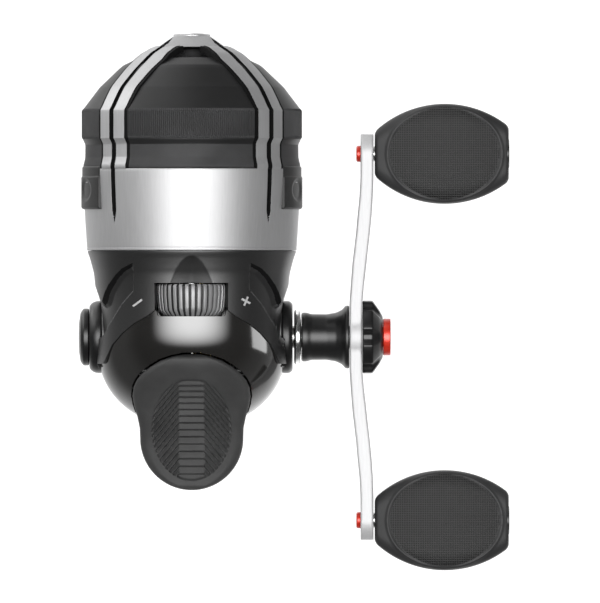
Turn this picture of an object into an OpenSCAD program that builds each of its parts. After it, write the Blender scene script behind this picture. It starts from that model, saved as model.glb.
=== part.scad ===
// Spincast fishing reel: crank side along +X, line leaves along +Y, rod below along -Z.
// The origin is the middle of the reel foot's underside.

/* [Placement] */
// Height of the reel body's axis above the foot's underside.
body_axis_height = 39; // [36:0.5:44]
// Crank axis along Y, measured from the middle of the foot.
crank_axis_y = -12; // [-16:0.5:-8]
// How far the crank axis lies below the body axis.
crank_drop = 5; // [4:0.1:6]

/* [Front cover] */
// Outer radius of the knurled band and ribs.
cover_radius = 29.8; // [26:0.1:34]
// Inner radius of the cover's straight part.
cover_bore_radius = 26.9; // [24:0.1:30]
// Y of the seam between the cover and the gear case.
seam_y = 24; // [20:0.5:28]
// Y of the nose tip.
nose_y = 82; // [76:0.5:88]
// Half width of each rib where it meets the band.
rib_half_width = 5.1; // [3:0.1:7]
// Width of the dark groove along each rib.
groove_width = 1.3; // [0.8:0.1:2.5]
// Radius of the line guide's hole.
line_hole_radius = 2.6; // [1.5:0.1:4]

/* [Rear body] */
// Radius of the dome at the rear of the body.
dome_radius = 25.2; // [22:0.1:28]
// Y of the dome's centre.
dome_centre_y = -2.1; // [-5:0.1:2]
// Wall thickness of the gear case and dome.
case_wall = 2; // [1.5:0.1:3]

/* [Drag wheel] */
// Outer radius of the drag wheel.
drag_wheel_radius = 9.4; // [8:0.1:11]
// Number of ridges round the drag wheel.
drag_wheel_ridges = 34; // [24:1:48]
// Height of the drag wheel's axis above the body axis.
drag_wheel_height = 17.6; // [16:0.1:19]

/* [Crank] */
// Radius of the crank shaft.
crank_shaft_radius = 3; // [2.5:0.1:4]
// Distance from the crank axis to each knob axis.
knob_offset = 49.5; // [40:0.5:60]
// Half width of a knob at its widest.
knob_half_width = 13.5; // [10:0.1:16]
// Thickness of a knob at its middle.
knob_thickness = 12; // [9:0.1:15]

/* [Gears] */
// Teeth on the pinion.
pinion_teeth = 9; // [7:1:12]
// Teeth on the drive gear.
drive_teeth = 46; // [36:1:56]
// Module of the pinion and the drive gear.
gear_module = 0.6; // [0.5:0.05:0.8]
// Teeth on the drag wheel's small gear.
drag_pinion_teeth = 11; // [9:1:15]
// Teeth on the drag ring gear.
drag_ring_teeth = 33; // [27:1:45]
// Module of the drag gears.
drag_module = 0.8; // [0.6:0.1:1]

/* [Thumb button] */
// Height of the thumb lever's pivot above the body axis.
thumb_pivot_height = 15; // [13:0.5:17]
// Y of the thumb lever's pivot.
thumb_pivot_y = -9; // [-11:0.5:-7]
// Half width of the pad's rounded rear end.
pad_half_width = 13.9; // [11:0.1:16]

/* [Foot] */
// Length of the reel foot.
foot_length = 64; // [58:1:70]
// Width of the reel foot.
foot_width = 12.6; // [11:0.1:14]
// Distance of each foot screw from the middle of the stem.
foot_screw_offset = 7; // [5:0.5:9]

/* [Hidden] */
fine = 96;
running_gap = 0.05;
free_gap = 0.3;
rib_angles = [45, 135, 225, 315];
cone_start_y = 61.5;
band_start_y = 53.5;
waist_front_y = 52.6;
waist_rear_y = 46.8;
bright_band_end_y = 45.4;
deck_y = 21.5;
pinion_pitch_radius = gear_module * pinion_teeth / 2;
mesh_y = gear_module * drive_teeth / 2;
centre_shaft_radius = 1.25;
pinion_sleeve_radius = 2.3;
hub_radius = 5.5;
knob_inner_x = 49.4;
knob_outer_x = 85.6;
knob_middle_x = 68.3;
knob_post_radius = 2;
pad_top = [[-4.5, 22.9], [-5.1, 23.8], [-6.6, 23.7], [-9, 22.6], [-11, 21.1], [-12.5, 19.7],
           [-14.3, 17.95], [-16.3, 16.2], [-19.2, 13.9], [-22.5, 11.87], [-25.8, 10.1],
           [-29.3, 8.7], [-32.2, 7.75], [-35.1, 7.05], [-38, 6.6], [-40.6, 6.4], [-41.3, 5.6]];
pad_under = [[-41.2, 3.2], [-36, 2.6], [-30, 3.2], [-24, 5.6], [-19, 9], [-14.5, 13.6],
             [-11, 17], [-8, 19], [-4.5, 19.6]];

// ---- Shared helpers ----

// Body frame: Y from the crank axis, Z from the body axis.
module in_body() {
    translate([0, crank_axis_y, body_axis_height])
        children();
}

// Crank frame: the same, with Z from the crank axis.
module in_crank() {
    translate([0, crank_axis_y, body_axis_height - crank_drop])
        children();
}

// Points are [radius, y], turned about the body axis.
module turned_y(points) {
    rotate([-90, 0, 0])
        rotate_extrude($fn = fine)
            polygon(points);
}

// Points are [radius, x], turned about the X axis.
module turned_x(points) {
    rotate([0, 90, 0])
        rotate_extrude($fn = fine)
            polygon(points);
}

module ring_y(outer, inner, start, end) {
    turned_y([[inner, start], [outer, start], [outer, end], [inner, end]]);
}

module ring_x(outer, inner, start, end) {
    turned_x([[inner, start], [outer, start], [outer, end], [inner, end]]);
}

module rod_y(radius, start, end) {
    translate([0, start, 0])
        rotate([-90, 0, 0])
            cylinder(r = radius, h = end - start, $fn = fine);
}

module rod_x(radius, start, end) {
    translate([start, 0, 0])
        rotate([0, 90, 0])
            cylinder(r = radius, h = end - start, $fn = fine);
}

module rod_z(radius, start, end) {
    translate([0, 0, start])
        cylinder(r = radius, h = end - start, $fn = fine);
}

module block(x0, x1, y0, y1, z0, z1) {
    translate([x0, y0, z0])
        cube([x1 - x0, y1 - y0, z1 - z0]);
}

// A small spur gear's outline: straight sided teeth, one tooth centred on the first axis.
module spur_outline(teeth, module_size, thickness) {
    pitch = module_size * teeth / 2;
    root = pitch - 1.25 * module_size;
    tip = pitch + module_size;
    half = thickness / 2;
    circle(r = root, $fn = fine);
    for (i = [0 : teeth - 1])
        rotate(i * 360 / teeth)
            polygon([[root - 0.3, -half * 1.45], [pitch, -half], [tip, -half * 0.5],
                     [tip, half * 0.5], [pitch, half], [root - 0.3, half * 1.45]]);
}

// ---- Front cover ----

// Slab that spans one rib; grown by gap on each side.
module rib_slab(gap) {
    w = rib_half_width + gap;
    linear_extrude(height = 40)
        polygon([[-w, bright_band_end_y - 1], [w, bright_band_end_y - 1], [w, cone_start_y],
                 [w + 0.7, 68], [w + 0.5, nose_y + 1], [-w - 0.5, nose_y + 1],
                 [-w - 0.7, 68], [-w, cone_start_y]]);
}

// Long thin slab for the groove in a rib, pointed at its rear end.
module groove_slab() {
    w = groove_width / 2;
    linear_extrude(height = 40)
        polygon([[-w, 33.5], [0, 30.8], [w, 33.5], [w, 79], [0, 80.4], [-w, 79]]);
}

module at_ribs() {
    for (angle = rib_angles)
        rotate([0, 90 - angle, 0])
            children();
}

// Ring that holds the ribs: the outer line is the ribs' outside, the inner line is the slots' floor.
module rib_ring(gap) {
    inner = 28 - gap;
    turned_y([[inner, bright_band_end_y - gap], [29.3 + gap, bright_band_end_y - gap],
              [29 + gap, waist_rear_y], [29 + gap, waist_front_y], [29.75 + gap, band_start_y + 0.1],
              [cover_radius + gap, 60.6], [29.3 + gap, 62.6], [28.2 + gap, 64.8],
              [26.5 + gap, 67.4], [24.2 + gap, 69.8], [21.3 + gap, 72.2], [18 + gap, 74.4],
              [14.6 + gap, 76.4], [10.9 + gap, 78.4], [9.4, 79.2], [9.4, 75.3 - gap],
              [14.6 - gap, 75.3 - gap], [17.9 - gap, 72], [23.6 - gap, 66.7], [inner, 61.2]]);
}

// Everything outside the groove's floor.
module groove_depth_ring() {
    turned_y([[28, 30], [28.5, 45], [28.4, waist_rear_y], [28.4, waist_front_y], [29, band_start_y + 0.4],
              [29.1, 60.6], [28.6, 62.2], [27.5, 64.4],
              [25.8, 66.9], [23.6, 69.2], [20.7, 71.6], [17.5, 73.7], [14.1, 75.7], [9, 78.3],
              [6, 80.2], [4, 80.9], [4, 90], [40, 90], [40, 30]]);
}

// Bright nose, ribs and band, in one piece.
module cover_frame() {
    color([0.8, 0.8, 0.81]) in_body() difference() {
        union() {
            intersection() {
                rib_ring(0);
                at_ribs() rib_slab(0);
            }
            turned_y([[3.9, 76.3], [9.6, 76.3], [9.6, 79.2], [8.5, 79.6], [6.9, 80.6],
                      [5.8, 81.1], [4.6, 81.7], [3.9, 81.9]]);
            turned_y([[cover_bore_radius, seam_y + 0.15], [28, seam_y + 0.15], [28.15, seam_y + 0.5],
                      [28.4, 27.3], [28.8, 32], [29.1, 38], [29.4, 44.6], [29.2, bright_band_end_y],
                      [28, bright_band_end_y], [28, 42], [cover_bore_radius, 42]]);
        }
        intersection() {
            groove_depth_ring();
            at_ribs() groove_slab();
        }
        grip_pad_beds();
    }
}

// Dark inner cone with the knurled band and the waist.
module cover_cone() {
    color([0.06, 0.06, 0.065]) in_body() difference() {
        turned_y([[cover_bore_radius, 42.05], [27.95, 42.05], [27.95, bright_band_end_y + 0.05],
                  [29.3, bright_band_end_y + 0.05], [28.9, waist_rear_y], [28.9, waist_front_y],
                  [29.7, band_start_y], [cover_radius, band_start_y + 0.2],
                  [cover_radius, cone_start_y - 0.4], [29.4, cone_start_y], [24.8, 67.4],
                  [19.3, 72.7], [16, 75.4], [14.9, 76.25], [3.95, 76.25], [3.95, 74.4],
                  [14.4, 74.4], [17.6, 71.4], [23.2, 65.9], [cover_bore_radius, 60.4]]);
        intersection() {
            rib_ring(0.05);
            at_ribs() rib_slab(0.05);
        }
        knurl_grooves();
        grip_pad_beds();
    }
}

// Shallow grooves round the knurled band, left out where the ribs cross it.
module knurl_grooves() {
    for (quarter = [0 : 3])
        for (step = [-8 : 8])
            rotate([0, quarter * 90 + step * 3.6, 0])
                translate([cover_radius + 0.15, band_start_y + 0.6, 0])
                    rotate([-90, 0, 0])
                        cylinder(r = 0.45, h = cone_start_y - band_start_y - 1.4, $fn = 4);
}

// Side beds for the grip pads.
module grip_pad_beds() {
    for (side = [0, 180])
        rotate([0, side, 0])
            intersection() {
                ring_y(31, 28.55, 34.5, 52);
                block(20, 32, 34.5, 52, -9, 9);
            }
}

// Rubber pads to turn the cover by.
module grip_pads() {
    color([0.08, 0.08, 0.085]) in_body()
        for (side = [0, 180])
            rotate([0, side, 0])
                difference() {
                    intersection() {
                        turned_y([[28.57, 34.55], [29.5, 34.55], [29.8, 35.4], [29.8, 43],
                                  [29.3, 43.4], [29.8, 43.8], [29.8, 51], [29.3, 51.95],
                                  [28.57, 51.95]]);
                        block(20, 32, 34.5, 52, -8.95, 8.95);
                    }
                    translate([cover_radius + 11.2, 38.9, 0])
                        sphere(r = 12, $fn = fine);
                }
}

// Ring the line leaves through.
module line_guide() {
    color([0.7, 0.71, 0.73]) in_body()
        turned_y([[line_hole_radius, 75.4], [3.3, 74.1], [3.9, 74.4], [3.9, nose_y - 0.1],
                  [3.5, nose_y], [3, nose_y - 0.2], [line_hole_radius, nose_y - 1]]);
}

// ---- Gear case, rear shell and foot ----

// Split between the gear case and the rear shell, seen from above; grown by gap.
module front_of_split(gap) {
    translate([0, 0, -35])
        linear_extrude(height = 70)
            polygon([[-35, -10.5 + gap], [-24.2, -10 + gap], [-23.3, -6.5 + gap],
                     [-21.4, -1.8 + gap], [-18.8, 1.2 + gap], [-15.7, 3.8 + gap],
                     [-12, 5.6 + gap], [-6, 6.6 + gap], [6, 6.6 + gap], [12, 5.6 + gap],
                     [15.7, 3.8 + gap], [18.8, 1.2 + gap], [21.4, -1.8 + gap],
                     [23.3, -6.5 + gap], [24.2, -10 + gap], [35, -10.5 + gap], [35, 40], [-35, 40]]);
}

module case_skin() {
    turned_y([[26.3, seam_y], [28.1, seam_y], [28.1, 22.8], [27.4, 21], [26.8, 18.8], [26.3, 16.5],
              [25.95, 12], [25.8, 6], [25.8, -12], [23.3, -12], [23.3, 16], [24, 18.5],
              [26.3, 20.6]]);
}

module case_bosses(radius) {
    translate([0, 0, -crank_drop])
        for (side = [-1, 1])
            rod_x(radius, side > 0 ? 18 : -24.3, side > 0 ? 24.3 : -18);
}

// Matt front half of the body, with both crank bosses.
module gear_case() {
    color([0.07, 0.07, 0.075]) in_body() difference() {
        union() {
            intersection() {
                case_skin();
                front_of_split(0);
            }
            case_bosses(10.4);
            translate([0, 0, -crank_drop])
                rod_x(9, 12.2, 18.1);
        }
        translate([0, 0, -crank_drop]) {
            rod_x(5.5, 19.6, 30);
            rod_x(7.1, 12, 19.6);
            rod_x(5.5, -30, -17);
            rod_x(9.85, 24.3, 30);
            rod_x(9.85, -30, -24.3);
        }
        drag_window();
        wheel_scoop();
        stem_socket(0);
        case_screw_holes();
        case_side_marks();
        mirror([1, 0, 0])
            case_side_marks();
    }
}

// Opening above the drag wheel.
module drag_window() {
    translate([0, 0, 12])
        linear_extrude(height = 18)
            polygon([[-9.2, 14.6], [-9.9, 13.9], [-9.9, 10.5], [-9.3, 7], [-8.4, 5], [8.4, 5],
                     [9.3, 7], [9.9, 10.5], [9.9, 13.9], [9.2, 14.6]]);
}

// Scoop in front of the wheel, widening towards it.
module wheel_scoop() {
    hull() {
        translate([0, 22.6, 28.6])
            sphere(r = 0.8, $fn = 24);
        translate([-4.2, 14.4, 28.3])
            sphere(r = 3.2, $fn = 24);
        translate([4.2, 14.4, 28.3])
            sphere(r = 3.2, $fn = 24);
    }
}

// Curved recess in front of each crank boss.
module case_side_marks() {
    intersection() {
        translate([0, 0, -crank_drop])
            ring_x(15.5, 12.6, 15, 40);
        difference() {
            turned_y([[20, 0], [40, 0], [40, 19], [26.5, 19], [25.5, 16.5], [25.2, 12], [25.1, 0]]);
            ring_y(25.1, 0, -1, 20);
        }
        block(15, 40, 3, 18, -18, 12);
    }
}

module case_screw_spots() {
    for (angle = [30, 150, 240])
        rotate([0, -angle, 0])
            translate([22.6, 0, 0])
                children();
}

module case_screw_holes() {
    case_screw_spots()
        rod_y(1.6, 12, 22);
}

module case_screws() {
    color([0.62, 0.62, 0.64]) in_body()
        case_screw_spots() {
            rod_y(1.35, 14.5, 24.2);
            rod_y(2.3, 24.2, 25.2);
        }
}

// Gloss dome behind the gear case.
module rear_shell() {
    color([0.05, 0.047, 0.043]) in_body() difference() {
        union() {
            turned_y([[dome_radius - case_wall, dome_centre_y], [dome_radius, dome_centre_y],
                      [dome_radius, 8], [dome_radius - case_wall, 8]]);
            difference() {
                dome_solid(0);
                dome_solid(case_wall);
                block(-30, 30, dome_centre_y, 40, -30, 30);
            }
            rear_pin_lugs();
        }
        front_of_split(-0.05);
        drag_window();
        case_bosses(10.7);
        thumb_sweep();
        stem_socket(0.05);
    }
}

// The dome as a solid, smaller by inset: a sphere whose top slopes down towards the thumb button.
module dome_solid(inset) {
    intersection() {
        translate([0, dome_centre_y, 0])
            sphere(r = dome_radius - inset, $fn = fine);
        translate([0, 5, dome_radius - 30])
            rod_x(30 - inset, -40, 40);
    }
}

// Lugs that hold the ends of the thumb lever's pivot pin.
module rear_pin_lugs() {
    for (side = [-1, 1])
        difference() {
            intersection() {
                union() {
                    translate([side * 15.6, thumb_pivot_y, thumb_pivot_height])
                        rod_x(2.6, -2.4, 2.4);
                    block(side * 15.6 - 2.4, side * 15.6 + 2.4, thumb_pivot_y - 1.5,
                          thumb_pivot_y + 1.5, thumb_pivot_height - 1, 26);
                }
                dome_solid(0.5);
            }
            translate([0, thumb_pivot_y, thumb_pivot_height])
                rod_x(1.22, -15.1, 15.1);
        }
}

// Room the thumb button needs, from rest to fully pressed.
module thumb_sweep() {
    intersection() {
        translate([0, 0, -12])
            linear_extrude(height = 50)
                pad_plan(0.5);
        rotate([90, 0, 90])
            translate([0, 0, -18])
                linear_extrude(height = 36)
                    polygon([[-3.5, 30], [-3.9, 18.8], [-8, 17.6], [-11, 14.6], [-14.5, 10.6],
                             [-17.5, 5.2], [-21.2, -0.4], [-24.5, -5.6], [-30, -8], [-45, -10],
                             [-45, 30]]);
    }
}

// Socket in the case floor for the foot's stem.
module stem_socket(gap) {
    block(-4.1 - gap, 4.1 + gap, -4.1 - gap, 20.1 + gap, -30, -20);
}

// Stem and seat of the reel foot.
module foot() {
    color([0.55, 0.56, 0.58]) {
        difference() {
            intersection() {
                translate([0, 0, 0])
                    linear_extrude(height = 2.6)
                        foot_plan();
                rotate([90, 0, 90])
                    translate([0, 0, -10])
                        linear_extrude(height = 20)
                            polygon([[-foot_length / 2, 0], [foot_length / 2, 0],
                                     [foot_length / 2, 1], [18, 2.6], [-18, 2.6],
                                     [-foot_length / 2, 1]]);
            }
            at_foot_screws()
                foot_screw_hole();
        }
        in_body() difference() {
            rotate([90, 0, 90])
                translate([0, 0, -4])
                    linear_extrude(height = 8)
                        polygon([[-6, 2.3 - body_axis_height], [22, 2.3 - body_axis_height],
                                 [20, 7 - body_axis_height], [20, -23.5], [-4, -23.5],
                                 [-4, 7 - body_axis_height]]);
            translate([0, -crank_axis_y, -body_axis_height])
                at_foot_screws()
                    rod_z(1.32, 2, 12);
            ring_y(23.45, 0, -6, 22);
        }
    }
}

module foot_plan() {
    intersection() {
        square([foot_width, foot_length], center = true);
        circle(r = foot_length / 2, $fn = fine);
        union() {
            square([foot_width, foot_length - 24], center = true);
            for (end = [-1, 1])
                translate([0, end * (foot_length / 2 - 12)])
                    circle(r = 12, $fn = fine);
        }
    }
}

module foot_screw_hole() {
    translate([0, 0, -0.1])
        cylinder(r = 1.4, h = 4, $fn = fine);
    translate([0, 0, -0.01])
        cylinder(r1 = 2.8, r2 = 1.4, h = 1.4, $fn = fine);
}

module foot_screws() {
    color([0.6, 0.6, 0.62])
        at_foot_screws() {
            translate([0, 0, 0.1])
                cylinder(r1 = 2.6, r2 = 1.3, h = 1.3, $fn = fine);
            translate([0, 0, 1.4])
                cylinder(r = 1.3, h = 9, $fn = fine);
        }
}

// Both screws, under the middle of the stem.
module at_foot_screws() {
    for (spot = [-1, 1])
        translate([0, crank_axis_y + 8 + spot * foot_screw_offset, 0])
            children();
}

// Stepped collars on both ends of the crank's bearings.
module bearing_flanges() {
    color([0.06, 0.06, 0.065]) in_crank() {
        turned_x([[5.45, 24.35], [9.75, 24.35], [9.75, 26.2], [9, 27.2], [5.45, 27.2]]);
        turned_x([[5.45, -24.35], [9.75, -24.35], [9.75, -25.6], [9.3, -26.9], [8.4, -27.7],
                  [5.45, -27.7]]);
    }
}

// Cap over the unused crank side.
module left_cap() {
    color([0.09, 0.09, 0.095]) in_crank()
        turned_x([[0, -30.6], [4, -30.5], [6.6, -30.1], [7.7, -29.3], [7.7, -27.75], [5.3, -27.75],
                  [5.3, -27.2], [0, -27.2]]);
}

// ---- Deck, bearings and other fixed inner parts ----

// Front plate of the gear case, with the hub the spool runs on.
module deck_plate() {
    color([0.66, 0.67, 0.69]) in_body() difference() {
        union() {
            turned_y([[2.65, 19.6], [4.05, 19.6], [4.05, 16.7], [6, 16.7], [6, deck_y],
                      [26.1, deck_y], [26.1, 24.05], [26.6, 24.05], [26.6, 27], [25.2, 27],
                      [25.2, 24], [9, 24], [9, 28.4], [hub_radius, 28.6], [hub_radius, 46],
                      [4.05, 46], [4.05, 43.4], [2.65, 43.4]]);
            translate([0, 0, drag_wheel_height])
                rod_y(4, 15, deck_y + 0.1);
        }
        translate([0, 0, drag_wheel_height])
            rod_y(2 + running_gap, 10, 30);
        case_screw_spots()
            rod_y(1.4, 20, 25);
    }
}

// Ball bearings shown as solid rings.
module pinion_bearings() {
    color([0.72, 0.73, 0.75]) in_body() {
        ring_y(4, pinion_sleeve_radius + running_gap, 17, 19.5);
        ring_y(4, pinion_sleeve_radius + running_gap, 43.45, 45.95);
    }
}

module crank_bearings() {
    color([0.75, 0.6, 0.3]) in_crank() {
        ring_x(5.4, crank_shaft_radius + running_gap, 20, 27.1);
        ring_x(5.4, crank_shaft_radius + running_gap, -27.1, -18.5);
    }
}

module one_way_clutch() {
    color([0.7, 0.71, 0.73]) in_crank()
        ring_x(7, crank_shaft_radius + running_gap, 12.6, 19.5);
}

module drag_washers() {
    color([0.5, 0.45, 0.38]) in_body() {
        ring_y(13, hub_radius + 0.1, 28.75, 29.25);
        ring_y(16, hub_radius + 0.1, 29.3, 29.9);
        ring_y(13, hub_radius + 0.1, 29.95, 30.4);
    }
}

module spool_clip() {
    color([0.62, 0.62, 0.64]) in_body()
        ring_y(7.2, hub_radius + 0.02, 45.1, 45.7);
}

// Cam on the hub's end that works the pick up pins.
module pickup_cam() {
    color([0.72, 0.72, 0.68]) in_body() difference() {
        ring_y(8, 3.2, 46.05, 48.6);
        block(6.4, 9, 46, 49, -9, 9);
        block(-9, -6.4, 46, 49, -9, 9);
    }
}

module thumb_pivot_pin() {
    color([0.66, 0.66, 0.68]) in_body()
        translate([0, thumb_pivot_y, thumb_pivot_height])
            rod_x(1.2, -15, 15);
}

// Coiled return spring round the pivot pin, with its fixed leg.
module thumb_spring() {
    color([0.6, 0.6, 0.62]) in_body()
        translate([0, thumb_pivot_y, thumb_pivot_height])
            for (coil = [0 : 3])
                translate([9.1 + coil * 0.75, 0, 0])
                    rotate([0, 90, 0])
                        rotate_extrude($fn = 48)
                            translate([1.75, 0])
                                circle(r = 0.33, $fn = 16);
}

// ---- Spool ----

module spool() {
    color([0.78, 0.78, 0.8]) in_body()
        turned_y([[hub_radius + 0.1, 30.7], [24.6, 30.7], [24.6, 32.2], [12.5, 32.2], [12.5, 43.4],
                  [22, 43.4], [22, 44.6], [10.8, 44.6], [10.8, 33.4], [7.4, 33.4], [7.4, 44.6],
                  [hub_radius + 0.1, 44.6]]);
}

module spool_line() {
    color([0.75, 0.8, 0.78]) in_body()
        turned_y([[12.53, 32.25], [21, 32.25], [21.3, 34], [21.1, 37.8], [20.6, 43.35],
                  [12.53, 43.35]]);
}

// ---- Drag control ----

module drag_wheel() {
    color([0.62, 0.62, 0.63]) in_body() translate([0, 0, drag_wheel_height]) difference() {
        turned_y([[2.02, 5.5], [7.4, 5.5], [8.7, 7.4], [drag_wheel_radius, 11.6],
                  [drag_wheel_radius, 13.9], [8.9, 14.3], [2.02, 14.3]]);
        for (i = [0 : drag_wheel_ridges - 1])
            rotate([0, i * 360 / drag_wheel_ridges, 0])
                translate([drag_wheel_radius + 0.05, 5, 0])
                    rotate([-90, 0, 0])
                        cylinder(r = 0.62, h = 10, $fn = 4);
    }
}

// Shaft of the drag wheel, with the small gear on its front end.
module drag_pinion() {
    color([0.7, 0.7, 0.72]) in_body() translate([0, 0, drag_wheel_height]) {
        rod_y(2, 5.5, 24.4);
        translate([0, 24.4, 0])
            rotate([-90, 0, 0])
                rotate(90)
                    linear_extrude(height = 3.4)
                        spur_outline(drag_pinion_teeth, drag_module, 1.0);
    }
}

module drag_ring_gear() {
    color([0.82, 0.82, 0.78]) in_body() {
        translate([0, 25, 0])
            rotate([-90, 0, 0])
                rotate(90)
                    linear_extrude(height = 2.6)
                        difference() {
                            spur_outline(drag_ring_teeth, drag_module, 1.0);
                            circle(r = 9.3, $fn = fine);
                        }
        ring_y(12, 10, 27.6, 28.4);
    }
}

// ---- Pinion, centre shaft and spinner ----

module pinion_gear() {
    color([0.74, 0.62, 0.34]) in_body() difference() {
        union() {
            translate([0, 12.4, 0])
                rotate([-90, 0, 0])
                    rotate(180 / pinion_teeth)
                        linear_extrude(height = 3.6)
                            spur_outline(pinion_teeth, gear_module, 0.68);
            rod_y(pinion_sleeve_radius, 15.7, 46.6);
        }
        rod_y(centre_shaft_radius + running_gap, 10, 50);
    }
}

module center_shaft() {
    color([0.68, 0.68, 0.7]) in_body()
        rod_y(centre_shaft_radius, -10.4, 60);
}

module shaft_clip() {
    color([0.6, 0.6, 0.62]) in_body()
        ring_y(2.6, centre_shaft_radius + 0.01, 3.9, 4.6);
}

// Return spring between the clip and the pinion.
module shaft_spring() {
    color([0.6, 0.6, 0.62]) in_body()
        for (coil = [0 : 7])
            translate([0, 5.1 + coil * 0.98, 0])
                rotate([-90, 0, 0])
                    rotate_extrude($fn = 48)
                        translate([1.75, 0])
                            circle(r = 0.3, $fn = 16);
}

// Cup that carries the pick up pins round the spool.
module spinner_head() {
    color([0.7, 0.71, 0.73]) in_body() difference() {
        union() {
            turned_y([[centre_shaft_radius + 0.02, 51], [4, 51], [4, 55.4], [20.4, 55.4], [22.6, 54],
                      [23.3, 51.8], [23.3, 43], [24.9, 43], [25.2, 43.6], [25.2, 57.2],
                      [24.4, 58.3], [22, 58.3], [20, 57.4], [6, 57], [centre_shaft_radius + 0.02, 57]]);
            for (side = [0, 180])
                rotate([0, side, 0])
                    block(17.2, 23.5, 48.4, 55.5, -2.6, 2.6);
        }
        for (side = [0, 180])
            rotate([0, side, 0])
                translate([0, 50.6, 0])
                    rod_x(1.1, 10, 30);
    }
}

module spinner_nut() {
    color([0.6, 0.6, 0.62]) in_body() difference() {
        translate([0, 57.05, 0])
            rotate([-90, 0, 0])
                cylinder(r = 3.2, h = 2.4, $fn = 6);
        rod_y(centre_shaft_radius + 0.02, 56, 61);
    }
}

// Flat springs over the pins' guide blocks.
module pin_springs() {
    color([0.6, 0.6, 0.62]) in_body()
        for (side = [0, 180])
            rotate([0, side, 0])
                block(16.8, 17.15, 48.6, 53.4, -2.4, 2.4);
}

module pickup_pin(side) {
    in_body()
        rotate([0, side, 0])
            translate([0, 50.6, 0])
                rod_x(1, 21, 26.3);
}

module pickup_pin_right() {
    color([0.8, 0.8, 0.82]) pickup_pin(0);
}

module pickup_pin_left() {
    color([0.8, 0.8, 0.82]) pickup_pin(180);
}

module thrust_cap() {
    color([0.85, 0.84, 0.78]) in_body() difference() {
        turned_y([[0, -11.6], [2.2, -11.6], [2.9, -11], [2.9, -7.6], [0, -7.6]]);
        rod_y(centre_shaft_radius + running_gap, -10.45, -7);
    }
}

// ---- Crank ----

module crank_shaft() {
    color([0.68, 0.68, 0.7]) in_crank() {
        rod_x(crank_shaft_radius, -26.9, 46);
    }
}

// Face gear: straight teeth offset below the pinion by the crank's drop.
module drive_gear() {
    color([0.76, 0.66, 0.4]) in_crank() {
        turned_x([[crank_shaft_radius + 0.01, 3.4], [15.9, 3.4], [15.9, 5.4], [6, 5.4],
                  [6, 9], [crank_shaft_radius + 0.01, 9]]);
        for (i = [0 : drive_teeth - 1])
            rotate([i * 360 / drive_teeth, 0, 0])
                translate([0, 0, crank_drop])
                    face_tooth();
    }
}

module face_tooth() {
    translate([0, 13, 0])
        rotate([-90, 0, 0])
            linear_extrude(height = 1.9)
                polygon([[3.45, -0.42], [2.1, -0.2], [2.1, 0.2], [3.45, 0.42]]);
}

module gear_screws() {
    color([0.6, 0.6, 0.62]) in_crank()
        for (i = [0 : 2])
            rotate([i * 120, 0, 0])
                translate([0, 9, 0])
                    rod_x(1.5, 5.42, 6.6);
}

module crank_shims() {
    color([0.6, 0.6, 0.62]) in_crank() {
        ring_x(5.2, crank_shaft_radius + 0.01, 9.02, 9.5);
        ring_x(5.2, crank_shaft_radius + 0.01, -18.2, -17.7);
    }
}

module wave_washer() {
    color([0.9, 0.9, 0.92]) in_crank()
        turned_x([[crank_shaft_radius + 0.01, 27.6], [6.8, 27.6], [7.65, 28.2], [6.9, 28.6],
                  [7.6, 29.1], [6.8, 29.55], [crank_shaft_radius + 0.01, 29.55]]);
}

module crank_sleeve() {
    color([0.06, 0.06, 0.065]) in_crank()
        turned_x([[crank_shaft_radius + 0.01, 29.6], [6.6, 29.6], [6.6, 31], [6.2, 32], [6.2, 36.5],
                  [6.6, 39], [7.4, 40.6], [8.5, 41.6], [8.5, 42.55],
                  [crank_shaft_radius + 0.01, 42.55]]);
}

// Crank arm: a strip that bows outwards towards both knobs.
module crank_arm() {
    color([0.83, 0.83, 0.84]) in_crank() difference() {
        intersection() {
            translate([0, 0, -12])
                linear_extrude(height = 24)
                    arm_bow();
            rotate([90, 0, 90])
                translate([0, 0, 40])
                    linear_extrude(height = 12)
                        arm_face();
        }
        rod_x(crank_shaft_radius + 0.01, 40, 50);
        for (side = [-1, 1])
            translate([0, side * knob_offset, 0])
                rod_x(1.5, 40, 55);
    }
}

// The bow, seen from above.
module arm_bow() {
    inner = [[0, 42.6], [9, 42.6], [13.5, 42.9], [16.8, 43.15], [20, 43.4], [23.3, 43.8],
             [28, 44.35], [33, 44.8], [38, 45.3], [43, 45.55], [55, 45.6]];
    outer = [[0, 46], [9, 46.05], [13.5, 46.4], [16.8, 46.8], [20, 47.15], [23.3, 47.5],
             [28, 48.05], [33, 48.55], [38, 48.85], [43, 49], [55, 49.05]];
    last = len(inner) - 1;
    polygon(concat([for (i = [last : -1 : 1]) [inner[i][1], -inner[i][0]]],
                   [for (p = inner) [p[1], p[0]]],
                   [for (i = [last : -1 : 1]) [outer[i][1], outer[i][0]]],
                   [for (p = outer) [p[1], -p[0]]]));
}

// The arm, seen from the side: wide at the hub, round at both ends.
module arm_face() {
    circle(r = 8.2, $fn = fine);
    for (side = [-1, 1]) {
        translate([side * knob_offset, 0])
            circle(r = 5.3, $fn = fine);
        polygon([[0, -7.6], [side * knob_offset, -5.3], [side * knob_offset, 5.3], [0, 7.6]]);
    }
}

module crank_nut() {
    color([0.06, 0.06, 0.065]) in_crank() difference() {
        turned_x([[0, 46.1], [9.85, 46.1], [9.85, 48.8], [7.2, 50.6], [5.4, 51.6], [0, 51.6]]);
        for (i = [0 : 5])
            rotate([i * 60 + 30, 0, 0])
                translate([0, 11.2, 0])
                    rod_x(2.6, 45, 53);
        rod_x(2.55, 46, 52);
    }
}

module crank_bolt() {
    color([0.8, 0.14, 0.06]) in_crank() difference() {
        turned_x([[0, 46.15], [2.5, 46.15], [2.5, 51.65], [5, 51.65], [5, 53.3], [4.6, 53.7],
                  [0, 53.7]]);
        rod_x(1.8, 52.6, 54);
    }
}

// ---- Knobs ----

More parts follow.
